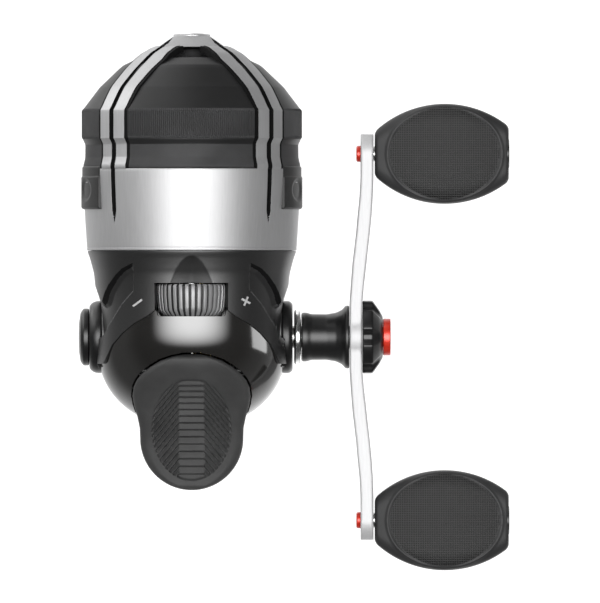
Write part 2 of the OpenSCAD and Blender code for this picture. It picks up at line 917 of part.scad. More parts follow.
module at_knobs() {
    for (side = [-1, 1])
        translate([0, side * knob_offset, 0])
            children();
}

module knob_posts() {
    color([0.68, 0.68, 0.7]) in_crank() at_knobs() {
        rod_x(knob_post_radius, 49.1, 83);
        rod_x(1.48, 45.6, 49.1);
    }
}

module knob_screws() {
    color([0.8, 0.18, 0.06]) in_crank() at_knobs()
        turned_x([[0, 44.4], [1.9, 44.4], [2.2, 44.7], [2.2, 45.55], [0, 45.55]]);
}

// Paddle knob: lens outline from above, gently domed on both faces.
module knob_body(side) {
    curve = 27.6;
    in_crank() translate([0, side * knob_offset, 0]) difference() {
        intersection() {
            translate([0, 0, -10])
                linear_extrude(height = 20)
                    intersection() {
                        translate([knob_middle_x, curve - knob_half_width])
                            circle(r = curve, $fn = fine);
                        translate([knob_middle_x, knob_half_width - curve])
                            circle(r = curve, $fn = fine);
                        translate([knob_inner_x, -20])
                            square([knob_outer_x - knob_inner_x, 40]);
                    }
            translate([knob_middle_x, 0, 0])
                rotate([90, 0, 0])
                    translate([0, 0, -20])
                        linear_extrude(height = 40)
                            intersection() {
                                translate([0, 72 - knob_thickness / 2])
                                    circle(r = 72, $fn = fine);
                                translate([0, knob_thickness / 2 - 72])
                                    circle(r = 72, $fn = fine);
                            }
        }
        rod_x(knob_post_radius + running_gap, 49, 83.3);
        rod_x(4, 84.3, 90);
    }
}

module knob_end_cap(side) {
    in_crank() translate([0, side * knob_offset, 0])
        ring_x(3.95, 0, 84.32, 85.5);
}

module knob_front() {
    color([0.05, 0.05, 0.055]) knob_body(1);
}

module knob_rear() {
    color([0.05, 0.05, 0.055]) knob_body(-1);
}

module knob_front_cap() {
    color([0.1, 0.1, 0.105]) knob_end_cap(1);
}

module knob_rear_cap() {
    color([0.1, 0.1, 0.105]) knob_end_cap(-1);
}

// ---- Thumb button ----

// The pad's outline from above; grown by gap.
module pad_plan(gap) {
    radius = pad_half_width + gap;
    side = [[0.1, -24.5], [0.7, -21.5], [1.8, -18], [2, -16], [1.7, -13.5]];
    front = [[13.6, -9.9], [11, -7.6], [7, -5.5], [3, -4.6]];
    last_side = len(side) - 1;
    last_front = len(front) - 1;
    polygon(concat([for (angle = [183 : 6 : 357])
                        [radius * cos(angle), radius * sin(angle) - 27.4]],
                   [for (p = side) [radius + p[0], p[1]]],
                   [for (p = front) [p[0] + gap, p[1] + gap]],
                   [for (i = [last_front : -1 : 0]) [-front[i][0] - gap, front[i][1] + gap]],
                   [for (i = [last_side : -1 : 0]) [-radius - side[i][0], side[i][1]]]));
}

// Rubber pad the thumb rests on.
module thumb_pad() {
    color([0.1, 0.1, 0.105]) in_body() intersection() {
        linear_extrude(height = 30)
            pad_plan(0);
        rotate([90, 0, 90])
            translate([0, 0, -18])
                linear_extrude(height = 36)
                    polygon(concat(pad_top, pad_under));
    }
}

// Lever under the pad; its finger pushes the centre shaft's cap.
module thumb_lever() {
    color([0.12, 0.12, 0.125]) in_body() difference() {
        union() {
            rotate([90, 0, 90])
                translate([0, 0, -3.2])
                    linear_extrude(height = 5)
                        polygon([[-36, 2.55], [-36, 1.2], [-29, 1.4], [-23, 3.6], [-17, 8.2],
                                 [-12.6, 12.4], [-14.3, 9], [-14.3, 1], [-12.9, 0.4],
                                 [-12, 1], [-11.8, 2.4], [-11.9, 9], [-9, 12.2], [-6.2, 14.6],
                                 [-6.2, 16.4], [-8, 18.2], [-8, 18.95], [-11, 16.95],
                                 [-14.5, 13.55], [-19, 8.95], [-24, 5.55], [-30, 3.15]]);
            translate([0, thumb_pivot_y, thumb_pivot_height])
                rod_x(2.65, -8.6, 8.6);
            rotate([90, 0, 90])
                translate([0, 0, -9.5])
                    linear_extrude(height = 19)
                        polygon([[-24.2, 5.1], [-23.8, 3.2], [-22.6, -2.5], [-21.4, -2.5],
                                 [-21.9, 6.4], [-22.5, 6.2]]);
        }
        translate([0, thumb_pivot_y, thumb_pivot_height])
            rod_x(1.2 + running_gap, -20, 20);
    }
}

// ---- Nodes ----

gear_case();
rear_shell();
bearing_flanges();
left_cap();
deck_plate();
foot();
foot_screws();
case_screws();
crank_bearings();
pinion_bearings();
one_way_clutch();
drag_washers();
spool_clip();
pickup_cam();
thumb_pivot_pin();
thumb_spring();
cover_frame();
cover_cone();
grip_pads();
line_guide();
spool();
spool_line();
drag_wheel();
drag_pinion();
drag_ring_gear();
pinion_gear();
shaft_spring();
center_shaft();
shaft_clip();
spinner_head();
spinner_nut();
pin_springs();
pickup_pin_right();
pickup_pin_left();
thrust_cap();
crank_shaft();
drive_gear();
gear_screws();
crank_shims();
wave_washer();
crank_sleeve();
crank_arm();
crank_nut();
crank_bolt();
knob_posts();
knob_screws();
knob_front();
knob_front_cap();
knob_rear();
knob_rear_cap();
thumb_lever();
thumb_pad();
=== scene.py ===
"""Looks of the spincast reel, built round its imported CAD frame.

Sizes are in millimetres until they become vertices. "Body" coordinates have their origin where the
crank's Y meets the body axis; "crank" coordinates have it on the crank axis.
"""

import math

import bpy
import numpy as np
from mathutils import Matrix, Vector


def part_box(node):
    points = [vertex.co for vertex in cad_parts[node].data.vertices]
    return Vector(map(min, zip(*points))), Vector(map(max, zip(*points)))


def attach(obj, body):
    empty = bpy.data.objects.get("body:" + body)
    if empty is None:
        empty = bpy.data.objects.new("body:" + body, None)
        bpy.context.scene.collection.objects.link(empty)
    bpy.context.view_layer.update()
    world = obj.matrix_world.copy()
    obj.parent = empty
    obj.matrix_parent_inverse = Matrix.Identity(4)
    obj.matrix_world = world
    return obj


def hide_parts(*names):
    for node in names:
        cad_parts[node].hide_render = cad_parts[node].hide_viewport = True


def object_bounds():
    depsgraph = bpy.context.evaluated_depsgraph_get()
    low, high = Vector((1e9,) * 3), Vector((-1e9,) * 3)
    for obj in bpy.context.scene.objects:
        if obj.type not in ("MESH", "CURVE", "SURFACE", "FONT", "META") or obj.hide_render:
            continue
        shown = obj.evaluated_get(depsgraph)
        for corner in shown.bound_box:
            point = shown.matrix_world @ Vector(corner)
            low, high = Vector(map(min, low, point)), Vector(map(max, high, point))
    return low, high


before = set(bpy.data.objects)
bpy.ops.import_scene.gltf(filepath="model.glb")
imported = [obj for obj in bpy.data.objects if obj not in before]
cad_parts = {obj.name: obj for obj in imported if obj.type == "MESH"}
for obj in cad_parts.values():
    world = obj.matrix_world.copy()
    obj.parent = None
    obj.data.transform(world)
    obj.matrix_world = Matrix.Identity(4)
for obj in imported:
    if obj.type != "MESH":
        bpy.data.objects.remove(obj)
CAD_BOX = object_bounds()
MM = 0.001


def box_middle(node):
    """Middle of a CAD node's box, in millimetres."""
    low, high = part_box(node)
    return np.array([(a + b) / 2 / MM for a, b in zip(low, high)])


CRANK_ORIGIN = np.array([0.0, box_middle("crank_shaft")[1], box_middle("crank_shaft")[2]])
BODY_ORIGIN = np.array([0.0, CRANK_ORIGIN[1], box_middle("spool")[2]])
CRANK_DROP = BODY_ORIGIN[2] - CRANK_ORIGIN[2]
DRAG_HEIGHT = box_middle("drag_wheel")[2] - BODY_ORIGIN[2]
KNOB_OFFSET = box_middle("knob_front")[1] - CRANK_ORIGIN[1]
SEAM_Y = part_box("cover_frame")[0][1] / MM - BODY_ORIGIN[1]
RIB_ANGLES = [math.radians(a) for a in (46, 134, 226, 314)]
DOME_CENTRE_Y = -2.1
DOME_RADIUS = 25.5
SLOPE_RADIUS = 30.0
SLOPE_CENTRE_Y = 5.0


# ---- Shader helpers ----


def new_material(name):
    """A material with an empty Principled shader; returns (material, node tree, shader)."""
    material = bpy.data.materials.new(name)
    material.use_nodes = True
    tree = material.node_tree
    return material, tree, tree.nodes["Principled BSDF"]


def object_coordinates(tree, scale=(1000.0, 1000.0, 1000.0)):
    """Object coordinates times scale, as a vector socket; in millimetres unless told otherwise."""
    coordinates = tree.nodes.new("ShaderNodeTexCoord")
    mapping = tree.nodes.new("ShaderNodeMapping")
    mapping.inputs["Scale"].default_value = scale
    tree.links.new(coordinates.outputs["Object"], mapping.inputs["Vector"])
    return mapping.outputs["Vector"]


def noise(tree, vector, scale, detail=4.0, roughness=0.55):
    """A noise texture's factor."""
    texture = tree.nodes.new("ShaderNodeTexNoise")
    for socket, value in (("Scale", scale), ("Detail", detail), ("Roughness", roughness)):
        texture.inputs[socket].default_value = value
    tree.links.new(vector, texture.inputs["Vector"])
    return texture.outputs["Fac"]


def ramp(tree, factor, dark, light, start=0.3, end=0.7):
    """A colour that runs from dark at start to light at end."""
    node = tree.nodes.new("ShaderNodeValToRGB")
    for element, position, colour in zip(node.color_ramp.elements, (start, end), (dark, light)):
        element.position = position
        element.color = (*colour, 1.0)
    tree.links.new(factor, node.inputs["Fac"])
    return node.outputs["Color"]


def remap(tree, value, start, end, low, high, curve="LINEAR"):
    """A change from low to high as the value goes from start to end."""
    node = tree.nodes.new("ShaderNodeMapRange")
    node.interpolation_type = curve
    for socket, number in (("From Min", start), ("From Max", end), ("To Min", low), ("To Max", high)):
        node.inputs[socket].default_value = number
    tree.links.new(value, node.inputs["Value"])
    return node.outputs["Result"]


def soft_edge(tree, value, start, end, low=0.0, high=1.0):
    """The same with an S-shaped curve."""
    return remap(tree, value, start, end, low, high, "SMOOTHSTEP")


def calculate(tree, operation, *values):
    """One math node over sockets and numbers."""
    node = tree.nodes.new("ShaderNodeMath")
    node.operation = operation
    for socket, value in zip(node.inputs, values):
        if isinstance(value, (int, float)):
            socket.default_value = value
        else:
            tree.links.new(value, socket)
    return node.outputs[0]


def combine(tree, operation, result, *values):
    """Chains a two-sided math operation over sockets and numbers."""
    for value in values:
        result = calculate(tree, operation, result, value)
    return result


def bump(tree, shader, height, strength, distance):
    """Bump from a height socket; distance in metres."""
    node = tree.nodes.new("ShaderNodeBump")
    node.inputs["Strength"].default_value = strength
    node.inputs["Distance"].default_value = distance
    tree.links.new(height, node.inputs["Height"])
    tree.links.new(node.outputs["Normal"], shader.inputs["Normal"])


def shade(value, tint=(1.0, 1.0, 1.0)):
    """A grey of that value, slightly tinted."""
    return tuple(value * t for t in tint)


# ---- Materials ----


def textured(name, tone, texture, colours, rough, relief, settings):
    """A finish with tone changes between two colours, and a texture in its gloss and height.

    tone and texture are a noise's scale, detail and roughness, rough is the lowest and highest roughness,
    relief is the bump's strength and distance, and settings are other values of the shader.
    """
    material, tree, shader = new_material(name)
    space = object_coordinates(tree)
    height = noise(tree, space, *texture)
    tree.links.new(ramp(tree, noise(tree, space, *tone), *colours), shader.inputs["Base Color"])
    tree.links.new(remap(tree, height, 0.0, 1.0, *rough), shader.inputs["Roughness"])
    bump(tree, shader, height, *relief)
    for socket, value in settings.items():
        shader.inputs[socket].default_value = value
    return material


def moulded_plastic(name, base, rough, grain=0.35, tint=(1.0, 1.0, 1.02), gloss=0.3):
    """Moulded plastic: fine spark-eroded grain, slight tone and gloss changes."""
    colours = (shade(base * 0.85, tint), shade(base * 1.2, tint))
    return textured(name, (0.09, 3.0), (5.5, 5.0), colours, (rough - 0.07, rough + 0.07), (grain, 0.00004),
                  {"Specular IOR Level": gloss})


def gloss_plastic(name):
    """Deep gloss black shell with a faint warm tone."""
    tint = (1.0, 0.95, 0.88)
    return textured(name, (0.05, 2.0), (0.05, 2.0), (shade(0.006, tint), shade(0.010, tint)), (0.10, 0.14),
                  (0.05, 0.0001), {"IOR": 1.85})


def polished_metal(name, base, rough, tint=(1.0, 1.0, 1.0)):
    """Plated or turned metal with light wear in its gloss."""
    return textured(name, (0.6, 5.0), (0.6, 5.0), (shade(base * 0.93, tint), shade(base, tint)),
                  (max(rough - 0.04, 0.02), rough + 0.08), (0.05, 0.00003), {"Metallic": 1.0})


def soft_rubber(name, base, rough):
    """Matt rubber: fine pores and a slight bloom."""
    return textured(name, (0.12, 3.0), (4.0, 6.0, 0.6), (shade(base * 0.85), shade(base * 1.2)),
                  (rough - 0.06, rough + 0.06), (0.4, 0.00005), {"Specular IOR Level": 0.3})


def enamel(name, colour, rough):
    """Coloured anodised or painted trim."""
    return textured(name, (0.9, 4.0), (0.9, 4.0), (tuple(c * 0.8 for c in colour), colour),
                  (rough - 0.05, rough + 0.05), (0.1, 0.00003), {"Metallic": 0.35, "Coat Weight": 0.5})


def brushed_metal(name, base, rough, metallic=1.0):
    """Metal brushed along Y: fine streaks in tone, gloss and height."""
    material, tree, shader = new_material(name)
    tint = (1.0, 1.0, 1.01)
    streaks = noise(tree, object_coordinates(tree, (1000.0, 30.0, 1000.0)), 2.6, 6.0, 0.7)
    cloud = noise(tree, object_coordinates(tree), 0.06, 3.0)
    mixed = calculate(tree, "MULTIPLY_ADD", streaks, 0.8, calculate(tree, "MULTIPLY", cloud, 0.2))
    colour = ramp(tree, mixed, shade(base * 0.88, tint), shade(min(base * 1.06, 1.0), tint))
    tree.links.new(colour, shader.inputs["Base Color"])
    tree.links.new(remap(tree, streaks, 0.0, 1.0, rough - 0.06, rough + 0.08), shader.inputs["Roughness"])
    shader.inputs["Metallic"].default_value = metallic
    bump(tree, shader, streaks, 0.12, 0.00003)
    return material


def knob_grid(name, pitch=0.62):
    """Fine square grid pressed into the knobs' gripping faces, with painted shade where the grid is lower.
    """
    material, tree, shader = new_material(name)
    split = tree.nodes.new("ShaderNodeSeparateXYZ")
    tree.links.new(object_coordinates(tree), split.inputs[0])
    angles = [calculate(tree, "MULTIPLY", split.outputs[axis], 2 * math.pi / pitch) for axis in ("X", "Y")]
    highest = calculate(tree, "MAXIMUM", *[calculate(tree, "SINE", angle) for angle in angles])
    level = remap(tree, highest, 0.2, 0.9, 0.0, 1.0)
    # The colour follows the grid's height: darker where it is lower, as painted shade.
    tree.links.new(ramp(tree, level, shade(0.004), shade(0.030), 0.0, 1.0), shader.inputs["Base Color"])
    shader.inputs["Roughness"].default_value = 0.55
    shader.inputs["Specular IOR Level"].default_value = 0.25
    bump(tree, shader, level, 0.6, 0.00012)
    return material


def wound_line(name):
    """Monofilament wound on the spool: fine turns round the body axis, with painted shade between the turns.
    """
    material, tree, shader = new_material(name)
    turns = tree.nodes.new("ShaderNodeTexWave")
    turns.bands_direction = "Y"
    turns.inputs["Scale"].default_value = 1.0
    turns.inputs["Distortion"].default_value = 1.2
    tree.links.new(object_coordinates(tree), turns.inputs["Vector"])
    # The colour follows the turns' height: darker between the turns, as painted shade.
    colour = ramp(tree, turns.outputs["Fac"], (0.35, 0.42, 0.38), (0.75, 0.8, 0.76), 0.0, 1.0)
    tree.links.new(colour, shader.inputs["Base Color"])
    shader.inputs["Roughness"].default_value = 0.25
    bump(tree, shader, turns.outputs["Fac"], 0.6, 0.0002)
    return material


def make_materials():
    """Every finish by name."""
    return {
        "case": moulded_plastic("case_satin_black", 0.004, 0.38, gloss=0.95),
        # A painted highlight for the strap's front edge, where it catches the light.
        "case_edge_highlight": moulded_plastic("case_painted_edge_highlight", 0.075, 0.4, gloss=0.5),
        "cone": moulded_plastic("cone_black", 0.010, 0.42, 0.2, gloss=0.28),
        "waist": moulded_plastic("waist_black", 0.036, 0.55, 0.2, gloss=0.12),
        "knurl": moulded_plastic("knurl_black", 0.034, 0.5, 0.2, gloss=0.12),
        # Black groove paint; also painted shade on the ribs' ledges and walls and on the case's crescents.
        "groove": moulded_plastic("groove_black_and_painted_shade", 0.003, 0.6, 0.2, gloss=0.1),
        "dome": gloss_plastic("dome_gloss_black"),
        "trim": moulded_plastic("trim_black", 0.006, 0.3, 0.2, gloss=0.45),
        "rubber": soft_rubber("thumb_rubber", 0.032, 0.62),
        "grip": soft_rubber("grip_rubber", 0.016, 0.5),
        "knob": moulded_plastic("knob_black", 0.022, 0.48, 0.4, gloss=0.25),
        "knob_grid": knob_grid("knob_grid"),
        "bright": brushed_metal("bright_band", 0.42, 0.5, metallic=0.78),
        "arm": brushed_metal("arm_metal", 0.45, 0.5, metallic=0.3),
        "wheel": brushed_metal("wheel_metal", 0.24, 0.4, metallic=0.4),
        "wheel_dark": moulded_plastic("wheel_groove", 0.010, 0.5),
        "foot": brushed_metal("foot_steel", 0.55, 0.3),
        "steel": polished_metal("machined_steel", 0.55, 0.25),
        "chrome": polished_metal("chrome", 0.9, 0.1),
        "cast": polished_metal("die_cast", 0.6, 0.42),
        "brass": polished_metal("brass", 0.68, 0.28, (1.0, 0.8, 0.42)),
        "ivory": moulded_plastic("ivory_plastic", 0.55, 0.4, 0.2, (1.0, 0.98, 0.9), gloss=0.5),
        "felt": soft_rubber("drag_felt", 0.2, 0.9),
        "red": enamel("red_cap", (0.62, 0.03, 0.012), 0.35),
        "mark": enamel("pale_mark", (0.5, 0.5, 0.5), 0.5),
        "line": wound_line("wound_line"),
    }


M = make_materials()


# ---- Mesh helpers ----


def add_piece(name, points, faces, body, materials, slot, indices=None, origin=BODY_ORIGIN, sharp=35.0):
    """A mesh object from millimetre points that rides on a CAD body."""
    vertices = (np.asarray(points, dtype=float) + origin) * MM
    mesh = bpy.data.meshes.new(name)
    mesh.from_pydata(vertices.tolist(), [], [tuple(int(i) for i in f) for f in faces])
    mesh.update()
    for material in materials:
        mesh.materials.append(material)
    if indices is not None:
        mesh.polygons.foreach_set("material_index", np.asarray(indices, dtype=np.int32))
    mesh.polygons.foreach_set("use_smooth", [True] * len(mesh.polygons))
    mesh.set_sharp_from_angle(angle=math.radians(sharp))
    piece = bpy.data.objects.new(name, mesh)
    bpy.context.collection.objects.link(piece)
    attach(piece, body)
    return piece


class Mesh:
    """Collects points, faces and material numbers of several shells in one object."""

    def __init__(self):
        self.points = []
        self.faces = []
        self.indices = []

    def grid(self, rows, closed=False, caps=False, keep=None, pick=None, solid=False):
        """Adds a shell over an (n, m, 3) array of points.

        closed joins the last column to the first and caps fills the first and last row. keep and pick
        take (i, j) and say whether a face is there and its material number. solid is for a shell that
        closes on itself: its faces are made to look outwards.
        """
        rows = np.asarray(rows, dtype=float)
        n, m, _ = rows.shape
        base = len(self.points)
        first_face = len(self.faces)
        self.points.extend(rows.reshape(-1, 3).tolist())
        columns = m if closed else m - 1
        for i in range(n - 1):
            for j in range(columns):
                if keep is not None and not keep(i, j):
                    continue
                k = (j + 1) % m
                self.faces.append((base + i * m + j, base + i * m + k,
                                   base + (i + 1) * m + k, base + (i + 1) * m + j))
                self.indices.append(pick(i, j) if pick else 0)
        if caps:
            self.faces.append(tuple(base + j for j in reversed(range(m))))
            self.faces.append(tuple(base + (n - 1) * m + j for j in range(m)))
            self.indices += [0, 0]
        if solid:
            self.face_outwards(first_face)

    def face_outwards(self, first_face):
        """Turns a closed shell's faces over when they enclose a negative volume."""
        points = np.asarray(self.points)
        shell = self.faces[first_face:]
        triangles = np.array([(face[0], b, c) for face in shell for b, c in zip(face[1:-1], face[2:])])
        first, second, third = (points[triangles[:, corner]] for corner in range(3))
        if np.sum(first * np.cross(second, third)) < 0:
            self.faces[first_face:] = [tuple(reversed(face)) for face in shell]

    def piece(self, name, body, materials, slot, **options):
        """Makes the object."""
        return add_piece(name, self.points, self.faces, body, materials, slot, self.indices, **options)


def rounded(profile, radius, steps=4):
    """A polygon with its corners rounded by up to radius."""
    points = [np.array(p, dtype=float) for p in profile]
    count = len(points)
    result = []
    for i, corner in enumerate(points):
        before = points[i - 1] - corner
        after = points[(i + 1) % count] - corner
        length_before = np.linalg.norm(before)
        length_after = np.linalg.norm(after)
        cut = min(radius, length_before * 0.45, length_after * 0.45)
        start = corner + before / length_before * cut
        end = corner + after / length_after * cut
        for step in range(steps + 1):
            t = step / steps
            result.append((1 - t) ** 2 * start + 2 * t * (1 - t) * corner + t ** 2 * end)
    return np.array(result)


def turned(profile, angles, along, modulate=None):
    """Rows of points for a (radius, position) profile turned about X or Y. Angle 0 is +Z."""
    profile = np.asarray(profile, dtype=float)
    radius = np.repeat(profile[:, :1], len(angles), axis=1)
    place = np.repeat(profile[:, 1:2], len(angles), axis=1)
    angle = np.repeat(np.asarray(angles)[None, :], len(profile), axis=0)
    if modulate is not None:
        radius = radius - modulate(radius, place, angle)
    side = radius * np.sin(angle)
    up = radius * np.cos(angle)
    if along == "y":
        return np.stack([side, place, up], axis=2)
    return np.stack([place, side, up], axis=2)


def around_y(radius, place, angle):
    """Points at a radius and place on the body axis. Angle 0 is +Z."""
    return np.stack([radius * np.sin(angle), place, radius * np.cos(angle)], axis=-1)


def full_circle(count):
    """Evenly spaced angles round a turn."""
    return np.linspace(0, 2 * math.pi, count, endpoint=False)


def ring(outline):
    """An outline with its first point again at the end."""
    return np.vstack([outline, outline[:1]])


def lathe_piece(name, profile, along, body, material, slot, round_by=0.25, count=128, origin=BODY_ORIGIN,
                replaces=()):
    """A closed profile turned about the body or crank axis."""
    mesh = Mesh()
    mesh.grid(turned(ring(rounded(profile, round_by)), full_circle(count), along), closed=True, solid=True)
    piece = mesh.piece(name, body, [material], slot, origin=origin)
    if replaces:
        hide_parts(*replaces)
    return piece


def smooth_step(value, low, high):
    """Goes from 0 at low to 1 at high with an S-shaped curve."""
    t = np.clip((value - low) / (high - low), 0, 1)
    return t * t * (3 - 2 * t)


# ---- Front cover ----

RIB_LINE = np.array([(29.0, 43.2), (29.28, 44.6), (29.36, 45.4), (29.38, 46.3), (29.15, 47.2), (28.9, 48.3),
                     (28.85, 48.8), (28.85, 51.6), (28.9, 52.1), (29.2, 52.7), (29.6, 53.3), (29.8, 53.6),
                     (29.8, 54.2), (29.8, 60.4), (29.7, 61.2), (29.0, 62.2), (27.5, 64.6), (25.6, 67.3),
                     (23.0, 69.8), (20.3, 72.2), (17.1, 74.65), (15.0, 76.2), (13.0, 77.4), (11.6, 78.1),
                     (10.5, 78.45), (9.6, 78.6)])
NOSE_LINE = np.array([(11.7, 78.3), (9.9, 79.3), (7.9, 80.4), (6.5, 81.1), (5.4, 81.55), (4.6, 81.75),
                      (3.95, 81.8)])
BAND_END_Y = SEAM_Y - 0.75
BAND_LINE = np.array([(28.2, BAND_END_Y), (28.27, SEAM_Y - 0.65), (28.28, SEAM_Y - 0.1),
                      (28.22, SEAM_Y + 0.05), (28.3, SEAM_Y + 0.25), (28.5, 27.3), (28.8, 32.0),
                      (29.1, 38.0), (29.35, 44.6), (29.2, 45.35)])
GROOVE_START = 30.6
GROOVE_END = 80.9
GROOVE_HALF_WIDTH = 0.74
GROOVE_DEPTH = 0.75
GROOVE_EDGE = 1.12
RIB_PROUD = 0.12
RIB_LEDGE = 0.9
RIB_SIDE_DEPTH = 1.9
BED_RADIUS = 29.0
BED_HALF_WIDTH = 4.9
CORNER_POWER = 1.15
GRIP_RADIUS = 29.8
GRIP_UNDERSIDE = 28.3


def resample(line, count):
    """A smooth curve through the line's points, evenly spaced."""
    line = np.asarray(line, dtype=float)
    steps = np.linalg.norm(np.diff(line, axis=0), axis=1)
    place = np.concatenate([[0], np.cumsum(steps)])
    result = []
    for t in np.linspace(0, place[-1], count):
        i = int(np.clip(np.searchsorted(place, t) - 1, 0, len(line) - 2))
        u = (t - place[i]) / (place[i + 1] - place[i])
        p1 = line[i]
        p2 = line[i + 1]
        p0 = line[i - 1] if i > 0 else 2 * p1 - p2
        p3 = line[i + 2] if i + 2 < len(line) else 2 * p2 - p1
        result.append(0.5 * (2 * p1 + (p2 - p0) * u + (2 * p0 - 5 * p1 + 4 * p2 - p3) * u ** 2
                             + (3 * p1 - p0 - 3 * p2 + p3) * u ** 3))
    return np.array(result)


def groove_half_width(y):
    """Half width of the dark groove, pointed at both ends."""
    return (GROOVE_HALF_WIDTH * np.clip((y - GROOVE_START) / 3.4, 0, 1)
            * np.clip((GROOVE_END - y) / 1.6, 0, 1))


def groove_depth(across, y):
    """Depth of the groove at a distance across the rib from its middle."""
    half = np.maximum(groove_half_width(y), 1e-4)
    wall = 1 - smooth_step(np.abs(across), half * 0.86, half * GROOVE_EDGE)
    return GROOVE_DEPTH * wall * (groove_half_width(y) > 0.02)


def rib_half_width(y):
    """Half width of a rib's bright face."""
    return np.interp(y, [61.5, 66.7, 70.7, 74.8, 77.0, 78.5], [4.6, 4.7, 4.9, 5.2, 4.6, 4.2])


def gap_to_rib(angle):
    """Angle to the nearest rib's middle."""
    return np.min([np.abs((angle - a + math.pi) % (2 * math.pi) - math.pi) for a in RIB_ANGLES], axis=0)


def in_rib_bed(angle):
    """True under a rib, where the turned pieces are lower so that the groove stays open."""
    return gap_to_rib(angle) * BED_RADIUS < BED_HALF_WIDTH


def across_samples(half):
    """Offsets across a rib, dense at the groove and at the rounded edges."""
    middle = np.array([0, 0.3, 0.5, 0.6, 0.66, 0.72, 0.78, 0.84, 0.95, 1.4, 2.0, 2.7])
    edge = half - np.array([1.4, 0.8, 0.4, 0.15, 0.05, 0])
    positive = np.concatenate([middle, edge])
    return np.concatenate([-positive[:0:-1], positive])


def rib_rows():
    """Rows of one rib over +Z: along its line, and across it with side walls."""
    line = resample(RIB_LINE, 170)
    tangent = np.gradient(line, axis=0)
    tangent /= np.linalg.norm(tangent, axis=1)[:, None]
    normal = np.stack([tangent[:, 1], -tangent[:, 0]], axis=1)
    rows = []
    for (radius, y), (normal_r, normal_y) in zip(line, normal):
        half = min(float(rib_half_width(y)), 0.69 * radius)
        across = across_samples(half)
        proud = RIB_PROUD * float(smooth_step(y, 45.3, 45.6)) * (1 - float(smooth_step(y, 76.5, 77.5)))
        ledge = 0.14 + 0.5 * (1 - float(smooth_step(y, 45.2, 45.6)))
        down = groove_depth(across, y) - proud
        ledge_x = half + np.array([0.08, RIB_LEDGE, RIB_LEDGE])
        ledge_down = np.array([ledge - proud, ledge - proud, RIB_SIDE_DEPTH])
        x = np.concatenate([-ledge_x[::-1], across, ledge_x])
        down = np.concatenate([ledge_down[::-1], down, ledge_down])
        drop = radius - np.sqrt(radius ** 2 - x ** 2)
        r = radius - drop - down * normal_r
        place = y - down * normal_y
        rows.append(np.stack([x, place, r], axis=1))
    return np.array(rows), line


def turn_about_y(rows, angle):
    """Rows turned about the body axis from +Z by angle towards +X."""
    turned_rows = rows.copy()
    turned_rows[..., 0] = rows[..., 0] * math.cos(angle) + rows[..., 2] * math.sin(angle)
    turned_rows[..., 2] = -rows[..., 0] * math.sin(angle) + rows[..., 2] * math.cos(angle)
    return turned_rows


def make_cover_frame():
    """Bright nose, four grooved ribs and the band, with black grooves and painted shade on the ribs' sides.
    """
    mesh = Mesh()
    rows, line = rib_rows()
    samples = rows.shape[1]

    def pick(i, j):
        """Black paint in the groove; painted shade on the ledges beside the rib and on the side walls."""
        # The first and last columns are the ledges and side walls: painted shade.
        if j < 3 or j >= samples - 4:
            return 1
        middle = (rows[i, j, 0] + rows[i, j + 1, 0]) / 2
        half = groove_half_width(line[i, 1])
        return 1 if abs(middle) < half * GROOVE_EDGE and half > 0.1 else 0

    for angle in RIB_ANGLES:
        mesh.grid(turn_about_y(rows, angle), closed=True, caps=True, pick=pick)
    grooved_turning(mesh, resample(NOSE_LINE, 40), [(3.95, 77.6), (9.8, 77.6)], 8.0, square=True)
    inner = [(28.0, 45.35), (28.0, 42.0), (26.95, 41.9), (26.95, BAND_END_Y)]
    grooved_turning(mesh, resample(BAND_LINE, 120), inner, BED_RADIUS)
    piece = mesh.piece("cover_frame_look", "front_cover", [M["bright"], M["groove"]], "bright_band")
    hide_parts("cover_frame")


def grooved_turning(mesh, outer, inner, sample_radius, square=False):
    """A turned ring with the ribs' grooves in its outer line; a square one has corners at the ribs."""
    near = np.linspace(-1.3, 1.3, 27) / sample_radius
    angles = np.concatenate([full_circle(160)] + [(a + near) % (2 * math.pi) for a in RIB_ANGLES])
    angles = np.unique(np.round(angles, 5))
    profile = np.vstack([outer, inner, outer[:1]])
    skin = len(outer)

    def groove(radius, place, angle):
        gap = gap_to_rib(angle)
        depth = groove_depth(gap * radius, place)
        if square:
            corner = (np.cos(gap) ** CORNER_POWER + np.sin(gap) ** CORNER_POWER) ** (-1 / CORNER_POWER)
            depth = depth + radius * (1 - corner) * smooth_step(radius, 4.6, 6.6)
        else:
            depth[skin:-1] = 0
        return depth

    def pick(i, j):
        """Dark inside the ring and on the groove's floor and walls."""
        if i >= skin - 1:
            return 1
        following = angles[(j + 1) % len(angles)]
        middle = angles[j] + ((following - angles[j]) % (2 * math.pi)) / 2
        half = groove_half_width(profile[i, 1])
        across = float(gap_to_rib(middle)) * profile[i, 0]
        return 1 if half > 0.08 and across < half * GROOVE_EDGE else 0

    mesh.grid(turned(profile, angles, "y", groove), closed=True, pick=pick)


